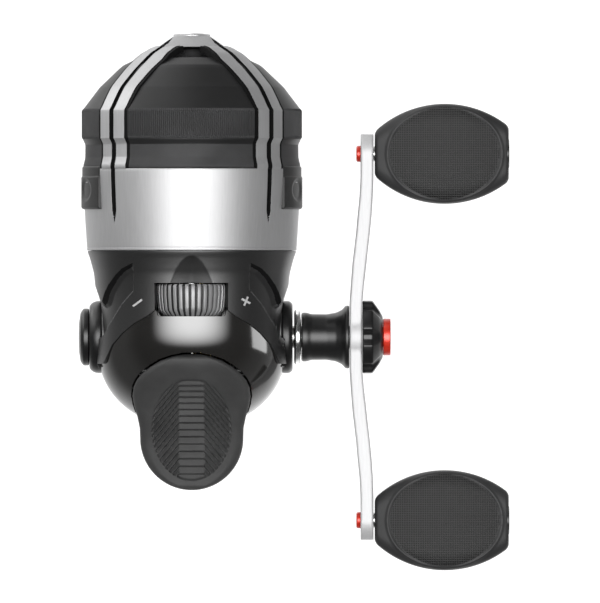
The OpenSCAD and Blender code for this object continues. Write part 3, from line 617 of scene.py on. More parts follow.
def make_cover_cone():
    """Dark cone with its waist and the collar under the nose; the knurled band is a piece of its own."""
    profile = rounded([(26.95, 42.0), (27.95, 42.0), (27.95, 45.4), (29.15, 45.45), (29.3, 46.2),
                       (28.8, 48.4), (28.75, 51.9), (29.4, 53.3), (29.4, 61.4), (24.85, 67.4),
                       (19.4, 72.6), (18.4, 73.4), (14.6, 75.2), (13.8, 75.4), (5.5, 75.4), (4.1, 78.2),
                       (3.95, 78.2), (3.95, 74.4), (12.4, 74.2), (17.6, 71.4), (23.2, 65.9),
                       (26.95, 60.4)], 0.4)
    profile = ring(profile)
    middle = (profile[1:] + profile[:-1]) / 2

    def pick(i, j):
        """The waist and the collar are plainer and paler than the cone."""
        radius, y = middle[i]
        return 1 if y < 51.9 or (y > 75.3 and radius < 5.6) else 0

    def rib_beds(radius, place, angle):
        """Lower strips in the outer face."""
        return 1.2 * in_rib_bed(angle) * (place > 45.5) * (place < 62.0) * (radius > 28.0)

    mesh = Mesh()
    mesh.grid(turned(profile, full_circle(192), "y", rib_beds), closed=True, pick=pick)
    piece = mesh.piece("cover_cone_look", "front_cover", [M["cone"], M["waist"]], "matt_black")
    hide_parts("cover_cone")
    make_knurl()


def make_knurl():
    """Ring of fine ridges round the cover's widest part."""
    ridges = 340
    wave = np.array([0.0, 0.3, 0.3, 0.0])
    angles = full_circle(ridges * len(wave))
    profile = np.array([(29.2, 53.3), (29.5, 53.5), (29.7, 53.8), (29.74, 54.3), (29.74, 57.4),
                        (29.74, 60.7), (29.7, 61.1), (29.4, 61.5), (29.1, 61.7)])
    weights = np.array([0, 0.3, 0.8, 1, 1, 1, 0.8, 0.3, 0])

    def ridge_depth(radius, place, angle):
        return weights[:, None] * np.tile(wave, ridges)[None, :] + 1.1 * in_rib_bed(angle)

    mesh = Mesh()
    mesh.grid(turned(profile, angles, "y", ridge_depth), closed=True)
    mesh.piece("cover_knurl_look", "front_cover", [M["knurl"]], "matt_black", sharp=50.0)


def make_grip_pads():
    """Rubber pads on both sides of the cover, each with two shallow finger dishes and a seam line."""
    mesh = Mesh()
    half = math.asin(16.4 / GRIP_RADIUS)
    start_y = 34.4
    end_y = 46.3
    for side in (math.pi / 2, -math.pi / 2):
        angle, y = np.meshgrid(np.linspace(-half, half, 121), np.linspace(start_y, end_y, 70))
        edge = np.minimum(np.minimum((half - np.abs(angle)) * GRIP_RADIUS, y - start_y), end_y - y)
        edge = np.clip(edge / 0.8, 0, 1)
        rise = 1.25 - 0.25 * smooth_step(y, 43.0, 43.4)
        radius = 28.6 + rise * np.sqrt(np.clip(1 - (1 - edge) ** 2, 0, 1))
        oval = np.hypot((np.abs(angle) - math.radians(15)) / math.radians(10.5), (y - 39.7) / 3.5)
        radius -= 0.6 * (1 - smooth_step(oval, 0.6, 1.0))
        rows = around_y(radius, y, angle + side)
        under = around_y(np.full_like(radius, GRIP_UNDERSIDE), y, angle + side)
        mesh.grid(np.concatenate([rows, under[:, ::-1]], axis=1), closed=True, caps=True)
    piece = mesh.piece("grip_pads_look", "front_cover", [M["grip"]], "pad_rubber")
    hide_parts("grip_pads")


def make_line_guide():
    """Plated ring that the line leaves through."""
    profile = [(2.6, 75.4), (3.3, 74.1), (3.9, 74.4), (3.9, 81.9), (3.4, 82.0), (2.6, 80.8)]
    lathe_piece("line_guide_look", profile, "y", "front_cover", M["chrome"], "chrome", 0.3,
                replaces=("line_guide",))


# ---- Gear case ----

CASE_LINE = np.array([(28.1, 24.0), (28.1, 23.0), (27.5, 21.2), (26.85, 18.8), (26.35, 16.5), (26.0, 12.0),
                      (25.85, 6.0), (25.8, 0.0), (25.8, -12.0)])
CASE_CURVE = resample(CASE_LINE, 120)
SPLIT_X = np.array([0.0, 8.3, 9.4, 9.7, 12.0, 15.7, 18.8, 21.4, 23.3, 24.0, 26.5])
SPLIT_Y = np.array([5.6, 5.6, 7.4, 7.4, 5.7, 3.6, 1.0, -2.0, -6.0, -7.2, -7.2])
PANEL_ARC = np.array([(15.6, 20.0), (18.8, 18.4), (20.8, 16.4), (22.4, 14.1), (23.5, 11.9), (24.2, 9.6)])
STRAP_X = np.array([10.0, 15.5, 18.8, 21.5, 23.5, 24.5, 26.0])
STRAP_Y = np.array([15.0, 12.7, 8.9, 4.5, 1.2, 0.0, -1.0])
WINDOW_HALF = 9.9
WINDOW_FRONT = 14.6


def case_radius(y):
    """Radius of the case's plain skin."""
    return np.interp(-y, -CASE_CURVE[:, 1], CASE_CURVE[:, 0])


def split_y(x):
    """Y of the edge between the gear case and the dome."""
    return np.interp(np.abs(x), SPLIT_X, SPLIT_Y)


def line_distance(x, y, line):
    """Distance in plan from points to an open line."""
    nearest = np.full(np.shape(x), 99.0)
    for (ax, ay), (bx, by) in zip(line[:-1], line[1:]):
        t = np.clip(((x - ax) * (bx - ax) + (y - ay) * (by - ay)) / ((bx - ax) ** 2 + (by - ay) ** 2), 0, 1)
        nearest = np.minimum(nearest, np.hypot(x - ax - t * (bx - ax), y - ay - t * (by - ay)))
    return nearest


def scoop_depth(x, y, z):
    """Soft valley that runs down to the drag wheel from a blunt tip."""
    t = np.clip(21.9 - y, 0, 7.3)
    half = 5.6 * np.sqrt(t / 6.9) + 1e-3
    valley = np.clip(1.02 - np.sqrt((x / half) ** 2 + 0.02), 0, 1)
    return 1.7 * (t / 6.9) ** 0.8 * valley ** 0.8 * (z > 0)


def panel_depth(x, y, z):
    """Sunken panel between the case's front and the strap over the dome's edge."""
    side = np.abs(x)
    below = np.abs(z + CRANK_DROP) - CRANK_DROP
    arc_y = np.interp(side, PANEL_ARC[:, 0], PANEL_ARC[:, 1])
    top = np.clip(line_distance(side, y, PANEL_ARC) / 1.7, 0, 1) * (y < arc_y)
    top = top * np.clip((side - 15.6) / 0.8, 0, 1)
    edge_y = np.interp(below, [0, 4, 9], [14.5, 13.0, 9.6])
    slope = np.interp(below, [0, 9], [5.5, 1.7])
    flank = np.clip((edge_y - y) / slope, 0, 1)
    depth = np.where(below > 9.2, top, flank) * (side > 15.6)
    above_strap = y - np.interp(side, STRAP_X, STRAP_Y)
    return 1.35 * depth * smooth_step(above_strap, -0.1, 0.25)


def in_crescent(x, y, z):
    """True on the wall under a panel's curved front edge, which is given painted shade."""
    side = abs(x)
    if side < 15.9 or abs(z + CRANK_DROP) - CRANK_DROP < 9.2:
        return False
    arc_y = float(np.interp(side, PANEL_ARC[:, 0], PANEL_ARC[:, 1]))
    return y < arc_y and float(line_distance(side, y, PANEL_ARC)) < 0.9 + 0.1 * (side - 15.9)


def on_strap_edge(x, y):
    """True on the thin line along the strap's front edge that carries a painted highlight."""
    side = abs(x)
    return 15.8 < side < 23.0 and abs(y - float(np.interp(side, STRAP_X, STRAP_Y))) < 0.13


def case_relief(x, y, z):
    """How far the case's skin sinks at a point."""
    boss = np.hypot(y, z + CRANK_DROP)
    pocket = np.maximum(np.abs(x) - 22.9, 0) * (boss < 11.0) * (np.abs(x) > 15)
    return np.maximum(np.maximum(scoop_depth(x, y, z), panel_depth(x, y, z)), pocket)


def case_shell_rows(angles, start_y, end_y, count):
    """Rows of the case's outer skin between two Y lines (one value per angle)."""
    rows = []
    for t in np.linspace(0, 1, count):
        y = start_y + (end_y - start_y) * t
        radius = case_radius(y)
        x = radius * np.sin(angles)
        z = radius * np.cos(angles)
        radius = radius - case_relief(x, y, z)
        rows.append(around_y(radius, y, angles))
    return np.array(rows)


def thicken(piece, thickness, bevel=0.0):
    """Gives a one-sided skin its wall, inwards, and rounds its rims."""
    solid = piece.modifiers.new("wall", "SOLIDIFY")
    solid.thickness = thickness * MM
    solid.offset = -1.0
    if bevel:
        soft = piece.modifiers.new("rim", "BEVEL")
        soft.width = bevel * MM
        soft.segments = 3
        soft.limit_method = "ANGLE"
        soft.angle_limit = math.radians(50)
        soft.harden_normals = True


def case_picker(rows):
    """Material choice for a grid of the case: painted shade on the crescents, a painted highlight on the
    strap's edge.
    """
    def pick(i, j):
        x, y, z = rows[i, j]
        # Index 1: painted shade on the crescent wall.
        if in_crescent(x, y, z):
            return 1
        # Index 2: the painted highlight along the strap's edge.
        return 2 if on_strap_edge(x, y) else 0

    return pick


def make_gear_case():
    """Matt front half of the body: window, scoop, crescents and the strap over the dome's edge."""
    half = math.asin(WINDOW_HALF / 26.0)
    outside = np.linspace(half, 2 * math.pi - half, 601)
    inside = np.linspace(-half, half, 81)[1:-1]
    mesh = Mesh()
    x = 25.8 * np.sin(outside)
    front = np.full_like(outside, WINDOW_FRONT)
    rear_rows = case_shell_rows(outside, split_y(x), front, 90)
    mesh.grid(rear_rows, pick=case_picker(rear_rows))
    whole = np.concatenate([outside, inside + 2 * math.pi])
    seam = np.full_like(whole, SEAM_Y - 0.9)
    front_rows = case_shell_rows(whole, np.full_like(whole, WINDOW_FRONT), seam, 50)
    mesh.grid(front_rows, closed=True, pick=case_picker(front_rows))
    points, faces, indices = merge_points(mesh)
    piece = add_piece("gear_case_look", points, faces, "reel_body", [M["case"], M["groove"], M["case_edge_highlight"]],
                      "matt_black", indices, sharp=60)
    thicken(piece, 1.6, 0.16)
    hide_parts("gear_case")
    make_bosses()
    make_window_frame()
    make_drag_marks()


def merge_points(mesh):
    """Joins points that share a place, so that grids meet without a seam."""
    keys = {}
    remap = []
    points = []
    for point in mesh.points:
        key = tuple(round(c, 3) for c in point)
        if key not in keys:
            keys[key] = len(points)
            points.append(point)
        remap.append(keys[key])
    faces = []
    indices = []
    for face, index in zip(mesh.faces, mesh.indices):
        loop = []
        for corner in face:
            new = remap[corner]
            if new not in loop:
                loop.append(new)
        if len(loop) > 2:
            faces.append(tuple(loop))
            indices.append(index)
    return points, faces, indices


def make_bosses():
    """Round bosses that carry the crank's bearings."""
    for side, name in ((1, "right"), (-1, "left")):
        profile = [(5.5, side * 17.0), (10.4, side * 17.0), (10.4, side * 24.3), (5.5, side * 24.3)]
        lathe_piece(f"case_boss_{name}", profile, "x", "reel_body", M["case"], "matt_black", 0.35,
                    origin=CRANK_ORIGIN)


def make_window_frame():
    """Dark walls that go down round the drag wheel."""
    half = WINDOW_HALF - 0.02
    outline = rounded([(-8.3, 5.6), (-9.3, 7.2), (-half, 10.0), (-half, WINDOW_FRONT - 0.02),
                       (half, WINDOW_FRONT - 0.02), (half, 10.0), (9.3, 7.2), (8.3, 5.6)], 0.7)
    inner = []
    for depth in (25.7, 24.0, 20.0, 14.5):
        inner.append([(px, py, min(depth, math.sqrt(25.7 ** 2 - px ** 2)) - 0.25) for px, py in outline])
    inner = np.array(inner)
    outer = inner.copy()
    outer[..., 0] *= 1 + 0.8 / half
    outer[..., 1] += np.where(inner[..., 1] > 6, 0.8, 0)
    mesh = Mesh()
    mesh.grid(np.concatenate([inner, outer[::-1]]), closed=True)
    mesh.piece("drag_window_frame", "reel_body", [M["groove"]], "matt_black")


def surface_patch(x, y, lift):
    """A point on the strap at plan place x, y, lifted off the skin."""
    radius = case_radius(np.array([y]))[0] + lift
    return (x, y, math.sqrt(max(radius ** 2 - x ** 2, 0.1)))


def make_drag_marks():
    """Pale minus and plus signs beside the drag wheel."""
    mesh = Mesh()
    bars = [(-14.5, 9.2, 3.0, 36), (14.7, 9.7, 2.6, -28), (14.7, 9.7, 2.6, 66)]
    for x, y, length, turn in bars:
        direction = np.array([math.cos(math.radians(turn)), math.sin(math.radians(turn))])
        across = np.array([-direction[1], direction[0]]) * 0.27
        rows = []
        for t in np.linspace(-length / 2, length / 2, 7):
            centre = np.array([x, y]) + direction * t
            row = []
            for offset, lift in ((-1, -0.2), (-1, 0.06), (0, 0.08), (1, 0.06), (1, -0.2)):
                place = centre + across * offset
                row.append(surface_patch(place[0], place[1], lift))
            rows.append(row)
        mesh.grid(np.array(rows), closed=True, caps=True, solid=True)
    mesh.piece("drag_marks", "reel_body", [M["mark"]], "matt_black")


# ---- Rear dome ----


def dome_distance(direction):
    """How far the dome's skin lies from its centre along unit directions."""
    side = np.hypot(direction[..., 0], direction[..., 2])
    ball = np.where(direction[..., 1] > 0, DOME_RADIUS / np.maximum(side, 1e-6), DOME_RADIUS)
    # A larger ball, set lower and further forward, slopes the top down towards the thumb button.
    forward = SLOPE_CENTRE_Y - DOME_CENTRE_Y
    lower = DOME_RADIUS - SLOPE_RADIUS
    b = direction[..., 1] * forward + direction[..., 2] * lower
    c = forward ** 2 + lower ** 2 - SLOPE_RADIUS ** 2
    slope = b + np.sqrt(b ** 2 - c)
    blend = 1.2
    gap = np.clip(0.5 + 0.5 * (slope - ball) / blend, 0, 1)
    return slope * (1 - gap) + ball * gap - blend * gap * (1 - gap)


PAD_FRONT_Y = -4.5
PAD_REAR_Y = -41.3
PAD_ROUND_Y = -27.4
PAD_ROUND = 13.9
SLOT_GAP = 0.4
PAD_SIDE = np.array([(PAD_ROUND, PAD_ROUND_Y), (14.0, -24.5), (14.6, -21.5), (15.5, -18.5), (15.9, -16.0),
                     (15.6, -13.5), (14.7, -11.5), (13.4, -9.9), (11.0, -7.9), (8.2, -6.2), (5.2, -5.1),
                     (2.4, -4.6), (0.0, PAD_FRONT_Y)])
SWEEP_Y = np.array([3.5, 3.9, 8.0, 11.0, 14.5, 17.5, 21.2, 24.5, 30.0, 45.0])
SWEEP_Z = np.array([19.0, 18.8, 17.6, 14.6, 10.6, 5.2, -0.4, -5.6, -8.0, -10.0])


def pad_half_width(y):
    """Half width of the thumb pad at Y, seen from above."""
    y = np.asarray(y, dtype=float)
    front = np.interp(y, PAD_SIDE[:, 1], PAD_SIDE[:, 0])
    rear = np.sqrt(np.maximum(PAD_ROUND ** 2 - (y - PAD_ROUND_Y) ** 2, 0))
    result = np.where(y < PAD_ROUND_Y, rear, front)
    return np.where((y > PAD_FRONT_Y) | (y < PAD_REAR_Y), 0, result)


def dome_kept(p):
    """Positive where the dome's skin exists: outside the thumb slot and behind the gear case."""
    x, y, z = p
    slot_half = float(pad_half_width(min(y - 0.3, PAD_FRONT_Y - 0.1))) + SLOT_GAP
    slot_front = y + 4.2 if y > -4.2 else -99
    slot_side = max(abs(x) - slot_half, slot_front)
    slot_floor = float(np.interp(-y, SWEEP_Y, SWEEP_Z)) - z
    outside_slot = max(slot_side, slot_floor)
    behind = float(split_y(x)) + (0.8 if abs(x) > 9.9 else 0.0) - y
    boss = math.hypot(y, z + CRANK_DROP) - 10.6
    outside_boss = boss if abs(x) > 12 else 99.0
    return min(outside_slot, behind, outside_boss)


def trim_grid(rows, kept):
    """Keeps the part of a closed grid where kept(point) is positive, with a clean edge."""
    n, m, _ = rows.shape
    value = np.array([[kept(rows[i, j]) for j in range(m)] for i in range(n)])
    points = rows.copy()
    snapped = np.zeros((n, m), dtype=bool)
    for i in range(n):
        for j in range(m):
            if value[i, j] > 0:
                continue
            crossings = []
            for di, dj in ((1, 0), (-1, 0), (0, 1), (0, -1)):
                a, b = i + di, (j + dj) % m
                if 0 <= a < n and value[a, b] > 0:
                    t = value[a, b] / (value[a, b] - value[i, j])
                    crossings.append(rows[a, b] + (rows[i, j] - rows[a, b]) * t)
            if crossings:
                points[i, j] = np.mean(crossings, axis=0)
                snapped[i, j] = True
    usable = (value > 0) | snapped
    mesh = Mesh()

    def keep(i, j):
        """True when all four corners are usable and one of them is inside."""
        corners = [(i, j), (i, (j + 1) % m), (i + 1, (j + 1) % m), (i + 1, j)]
        return all(usable[c] for c in corners) and any(value[c] > 0 for c in corners)

    mesh.grid(points, closed=True, keep=keep)
    return mesh


def drop_loose(mesh):
    """Removes points that no face uses."""
    used = sorted({corner for face in mesh.faces for corner in face})
    place = {old: new for new, old in enumerate(used)}
    mesh.points = [mesh.points[i] for i in used]
    mesh.faces = [tuple(place[c] for c in face) for face in mesh.faces]


def make_dome():
    """Gloss dome behind the gear case, cut away round the thumb button and the bosses."""
    angles = full_circle(360)
    polar = np.radians(np.concatenate([[0.3], np.linspace(1.5, 113, 150)]))
    theta, phi = np.meshgrid(polar, angles, indexing="ij")
    direction = np.stack([np.sin(theta) * np.sin(phi), -np.cos(theta), np.sin(theta) * np.cos(phi)], axis=2)
    rows = direction * dome_distance(direction)[..., None]
    rows[..., 1] += DOME_CENTRE_Y
    mesh = trim_grid(rows, dome_kept)
    drop_loose(mesh)
    piece = mesh.piece("rear_shell_look", "reel_body", [M["dome"]], "gloss_black", sharp=60)
    thicken(piece, 1.9, 0.15)
    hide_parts("rear_shell")


# ---- Thumb button ----

PAD_TOP = np.array([(PAD_FRONT_Y, 23.0), (-5.6, 23.75), (-7.2, 23.55), (-9.0, 22.6), (-11.0, 21.1),
                    (-12.5, 19.75), (-14.3, 18.0), (-16.3, 16.25), (-19.2, 14.0), (-22.5, 12.0),
                    (-25.8, 10.3), (-29.3, 8.9), (-32.2, 8.0), (-35.1, 7.3), (-38.0, 6.9), (-40.6, 6.7),
                    (PAD_REAR_Y, 6.4)])
PAD_UNDER = np.array([(PAD_REAR_Y, 3.4), (-36.0, 2.7), (-30.0, 3.3), (-24.0, 5.7), (-19.0, 9.1),
                      (-14.5, 13.7), (-11.0, 17.1), (-8.0, 19.1), (PAD_FRONT_Y, 19.9)])
RIDGE_PITCH = 2.1
CHEVRON_FLAT = 3.4
PAD_EDGE = 2.4


def pad_top_line():
    """Fine (y, z, arc length) table of the pad's middle line."""
    line = resample(PAD_TOP, 400)
    steps = np.linalg.norm(np.diff(line, axis=0), axis=1)
    return line[:, 0], line[:, 1], np.concatenate([[0], np.cumsum(steps)])


def pad_height(x, y, table):
    """Height of the pad's upper face, with its chevron ridges in a sunken oval."""
    line_y, line_z, line_s = table
    z = np.interp(-y, -line_y, line_z) - 0.006 * x ** 2
    arm = np.maximum(np.abs(x) - CHEVRON_FLAT, 0)
    middle_y = np.clip(y + 1.2 * arm, PAD_REAR_Y, PAD_FRONT_Y)
    s = np.interp(-middle_y, -line_y, line_s)
    phase = (s / RIDGE_PITCH) % 1.0
    saw = np.where(phase < 0.8, phase / 0.8, (1 - phase) / 0.2)
    oval = np.sqrt((x / 10.9) ** 2 + ((y + 24.9) / 14.0) ** 2)
    inside = 1 - smooth_step(oval, 0.95, 1.0)
    relief = 0.95 - 0.5 * smooth_step(-y, 28, 38) * (np.abs(x) < CHEVRON_FLAT)
    return z + inside * (relief * saw - 1.05)


def make_thumb_pad():
    """Rubber thumb pad: a closed skin lofted along Y."""
    table = pad_top_line()
    ends = 0.5 - 0.5 * np.cos(np.linspace(0, math.pi, 25))
    front = PAD_FRONT_Y - 1.2 * ends[:13] / ends[12]
    rear = -40.6 - 0.69 * np.sin(np.linspace(0, math.pi / 2, 12))
    middle = np.arange(-5.85, -40.55, -0.17)
    stations = np.unique(np.concatenate([front, middle, rear]))[::-1]
    u = np.linspace(-1, 1, 161)
    rows = []
    for y in stations:
        half = max(float(pad_half_width(y)), 0.02)
        x = u * half
        inset = half * (1 - np.abs(u))
        end_inset = min(PAD_FRONT_Y - y, y - PAD_REAR_Y) * 1.6
        edge = np.clip(np.minimum(inset, end_inset + 0.05) / PAD_EDGE, 0, 1)
        fall = PAD_EDGE * (1 - np.sqrt(np.clip(1 - (1 - edge) ** 2, 0, 1)))
        under = float(np.interp(y, PAD_UNDER[:, 0], PAD_UNDER[:, 1]))
        top = np.maximum(pad_height(x, np.full_like(x, y), table) - fall, under + 0.4)
        row = [(px, y, pz) for px, pz in zip(x, top)]
        low = np.linspace(1, -1, 25)
        row += [(v * half, y, under + 0.012 * min(half * half, 200) * (1 - v * v) * 0.1) for v in low]
        rows.append(row)
    mesh = Mesh()
    mesh.grid(np.array(rows), closed=True, caps=True, solid=True)
    piece = mesh.piece("thumb_pad_look", "thumb_button", [M["rubber"]], "pad_rubber", sharp=70)
    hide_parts("thumb_pad")


# ---- Drag wheel ----


def make_drag_wheel():
    """Ridged wheel: bright lands between dark grooves."""
    ridges = 34
    fractions = np.array([0.0, 0.04, 0.10, 0.5, 0.56, 0.60, 0.64, 0.8, 0.96])
    depths = np.array([0.14, 0.03, 0.0, 0.0, 0.03, 0.14, 0.62, 0.68, 0.62])
    step = 2 * math.pi / ridges
    angles = np.concatenate([(i + fractions) * step for i in range(ridges)])
    depth = np.tile(depths, ridges)
    profile = np.array([(2.1, 5.5), (7.2, 5.5), (7.5, 5.62), (8.8, 7.1), (9.05, 8.0), (9.4, 11.4),
                        (9.4, 13.7), (9.1, 14.2), (8.6, 14.3), (2.1, 14.3)])
    weight = np.array([0, 0, 0.6, 1, 1, 1, 1, 1, 0.3, 0])
    rows = turned(profile, angles, "y", lambda radius, place, angle: weight[:, None] * depth[None, :])
    rows[..., 2] += DRAG_HEIGHT
    mesh = Mesh()

    def pick(i, j):
        """Dark in the grooves and on the two rounded rims."""
        return 1 if (j % len(fractions)) in (5, 6, 7) or i in (0, 8) else 0

    mesh.grid(np.concatenate([rows, rows[:1]]), closed=True, pick=pick)
    materials = [M["wheel"], M["wheel_dark"]]
    piece = mesh.piece("drag_wheel_look", "drag_wheel_assembly", materials, "steel", sharp=30)
    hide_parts("drag_wheel")


# ---- Crank ----

ARM_HUB = 8.2
ARM_END = 5.3
ARM_Y = np.array([0, 9, 13.5, 16.8, 20, 23.3, 28, 33, 38, 43, 55])
ARM_INNER = np.array([42.6, 42.6, 42.9, 43.15, 43.4, 43.8, 44.35, 44.8, 45.3, 45.55, 45.6])
ARM_OUTER = np.array([46.0, 46.05, 46.4, 46.8, 47.15, 47.5, 48.05, 48.55, 48.85, 49.0, 49.05])


def arm_half_height(y):
    """Half height of the arm at a distance from the hub: a round hub, a taper and a round end."""
    y = abs(y)
    taper = np.interp(y, [0, KNOB_OFFSET], [7.6, ARM_END])
    hub = math.sqrt(max(ARM_HUB ** 2 - y ** 2, 0))
    end = math.sqrt(max(ARM_END ** 2 - max(y - KNOB_OFFSET, 0) ** 2, 0.0004))
    return min(max(taper, hub), end if y > KNOB_OFFSET else 99)


def make_crank_arm():
    """Bowed bright strip between the two knobs, with softened edges."""
    length = KNOB_OFFSET + ARM_END
    ends = length - ARM_END * (1 - np.cos(np.linspace(0, math.pi / 2, 20)))
    stations = np.concatenate([np.linspace(0, KNOB_OFFSET, 70), np.sort(ends)[1:]])
    stations = np.unique(np.concatenate([-stations, stations]))
    rows = []
    for y in stations:
        half = arm_half_height(y)
        low = float(np.interp(abs(y), ARM_Y, ARM_INNER))
        high = float(np.interp(abs(y), ARM_Y, ARM_OUTER))
        soft = min(0.7, half * 0.8)
        section = rounded([(low, -half), (high, -half), (high, half), (low, half)], soft, 5)
        rows.append([(px, y, pz) for px, pz in section])
    mesh = Mesh()
    mesh.grid(np.array(rows), closed=True, caps=True, solid=True)
    piece = mesh.piece("crank_arm_look", "crank", [M["arm"]], "arm_metal", origin=CRANK_ORIGIN, sharp=40)
    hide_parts("crank_arm")


def make_crank_nut():
    """Lobed nut outside the arm."""
    profile = ring(rounded([(2.55, 46.1), (9.85, 46.1), (9.85, 48.8), (7.3, 50.6), (5.45, 51.6),
                            (2.55, 51.6)], 0.45))

    def flutes(radius, place, angle):
        lobe = np.cos(angle * 6)
        return smooth_step(lobe, 0.1, 1.0) * 1.5 * smooth_step(radius, 5.6, 9.8)

    mesh = Mesh()
    mesh.grid(turned(profile, full_circle(240), "x", flutes), closed=True, solid=True)
    piece = mesh.piece("crank_nut_look", "crank", [M["trim"]], "matt_black", origin=CRANK_ORIGIN)
    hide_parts("crank_nut")


def make_crank_turnings():
    """Turned pieces on the crank's axis."""
    sleeve = [(3.05, 29.65), (6.6, 29.65), (6.6, 31.0), (6.2, 32.2), (6.15, 36.4), (6.6, 39.0), (7.4, 40.6),
              (8.5, 41.5), (8.5, 42.5), (3.05, 42.5)]
    bolt = [(0.02, 46.2), (2.5, 46.2), (2.5, 51.65), (5.0, 51.65), (5.0, 53.7), (2.3, 53.7), (2.1, 52.8),
            (0.02, 52.8)]
    washer = [(3.05, 27.6), (6.9, 27.6), (7.65, 28.1), (6.9, 28.6), (7.65, 29.1), (6.9, 29.58),
              (3.05, 29.58)]
    lathe_piece("crank_sleeve_look", sleeve, "x", "crank", M["trim"], "matt_black", 0.5, 128, CRANK_ORIGIN,
                ("crank_sleeve",))
    lathe_piece("crank_bolt_look", bolt, "x", "crank", M["red"], "red", 0.35, 96, CRANK_ORIGIN,
                ("crank_bolt",))
    lathe_piece("wave_washer_look", washer, "x", "crank", M["chrome"], "chrome", 0.2, 128, CRANK_ORIGIN,
                ("wave_washer",))


def make_side_trim():
    """Bearing flanges and the cap on the side without a crank."""
    mesh = Mesh()
    for profile in ([(5.45, 24.3), (9.75, 24.3), (9.75, 26.3), (9.0, 27.2), (5.45, 27.2)],
                    [(5.45, -24.3), (9.75, -24.3), (9.75, -25.7), (9.3, -26.9), (8.4, -27.7),
                     (5.45, -27.7)]):
        mesh.grid(turned(ring(rounded(profile, 0.5)), full_circle(128), "x"), closed=True, solid=True)
    piece = mesh.piece("bearing_flanges_look", "reel_body", [M["trim"]], "matt_black", origin=CRANK_ORIGIN)
    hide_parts("bearing_flanges")
    cap = [(0.02, -30.6), (4.0, -30.5), (6.6, -30.1), (7.7, -29.3), (7.7, -27.8), (0.02, -27.8)]
    lathe_piece("left_cap_look", cap, "x", "reel_body", M["trim"], "matt_black", 0.4, 128, CRANK_ORIGIN,
                ("left_cap",))


# ---- Knobs ----

KNOB_INNER = 49.4
KNOB_OUTER = 85.6
KNOB_MIDDLE = 68.3
KNOB_CURVE = 27.6
KNOB_HALF_WIDTH = 13.5
KNOB_HALF_THICKNESS = 6.0
KNOB_FACE_CURVE = 72.0
KNOB_ROUNDING = 0.9


def knob_half_width(x):
    """Half width at x: bowed sides."""
    return math.sqrt(KNOB_CURVE ** 2 - (x - KNOB_MIDDLE) ** 2) + KNOB_HALF_WIDTH - KNOB_CURVE


def knob_half_thickness(x):
    """Half thickness at x: faces bowed less than the sides."""
    return math.sqrt(KNOB_FACE_CURVE ** 2 - (x - KNOB_MIDDLE) ** 2) + KNOB_HALF_THICKNESS - KNOB_FACE_CURVE


def knob_section(x, half_width, half_thickness):
    """Closed loop across a knob at x: flat faces with rounded sides, and the sunken grip oval."""
    loop = []
    flat = np.linspace(-1, 1, 97)
    grip = []
    for sign in (1, -1):
        for u in flat * sign:
            y = u * half_width
            inset = half_width * (1 - abs(u))
            reach = min(half_thickness * 0.95, half_width * 0.8)
            edge = min(inset / reach, 1.0)
            z = half_thickness * (1 - 0.62 * (1 - math.sqrt(max(1 - (1 - edge) ** 2.4, 0))))
            oval = math.hypot((x - KNOB_MIDDLE) / 15.8, y / 13.15)
            rim = 0.28 * math.exp(-((oval - 0.985) / 0.022) ** 2)
            sunk = 0.22 * (1 - float(smooth_step(oval, 0.93, 0.96)))
            loop.append((x, y, sign * (z + rim - sunk)))
            grip.append(oval < 0.945)
    return loop, grip


def make_knob(name, body, nodes, side):
    """Paddle knob with a gridded oval on both faces, and its end cap."""
    end_steps = KNOB_ROUNDING * (1 - np.cos(np.linspace(0, math.pi / 2, 7)))
    between = np.linspace(KNOB_INNER + KNOB_ROUNDING, KNOB_OUTER - KNOB_ROUNDING, 110)[1:-1]
    stations = np.concatenate([KNOB_INNER + end_steps, between, KNOB_OUTER - end_steps[::-1]])
    rows = []
    flags = []
    for x in stations:
        end = min(x - KNOB_INNER, KNOB_OUTER - x)
        shrink = KNOB_ROUNDING * (1 - math.sqrt(max(1 - (1 - min(end / KNOB_ROUNDING, 1)) ** 2, 0)))
        loop, grip = knob_section(x, knob_half_width(x) - shrink, knob_half_thickness(x) - shrink)
        rows.append(loop)
        flags.append(grip)
    mesh = Mesh()
    mesh.grid(np.array(rows), closed=True, caps=True, solid=True,
              pick=lambda i, j: 1 if flags[i][j] and flags[i + 1][j] else 0)
    origin = CRANK_ORIGIN + np.array([0, side * KNOB_OFFSET, 0])
    materials = [M["knob"], M["knob_grid"]]
    piece = mesh.piece(f"{name}_look", body, materials, "knob_black", origin=origin, sharp=50)
    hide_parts(nodes)
    lathe_piece(f"{name}_cap_look", [(0.02, 85.0), (3.9, 85.0), (3.9, 85.75), (0.02, 85.75)], "x", body,
                M["trim"], "matt_black", 0.25, 64, origin, (f"{nodes}_cap",))


def make_knob_screws():
    """Red screw heads on the arm's inner face."""
    mesh = Mesh()
    for side in (-1, 1):
        outline = rounded([(0.02, 44.4), (1.9, 44.4), (2.2, 44.7), (2.2, 45.6), (0.02, 45.6)], 0.15)
        rows = turned(ring(outline), full_circle(64), "x")
        mesh.grid(rows + np.array([0, side * KNOB_OFFSET, 0]), closed=True, solid=True)
    piece = mesh.piece("knob_screws_look", "crank", [M["red"]], "red", origin=CRANK_ORIGIN)
    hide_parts("knob_screws")


# ---- Foot ----


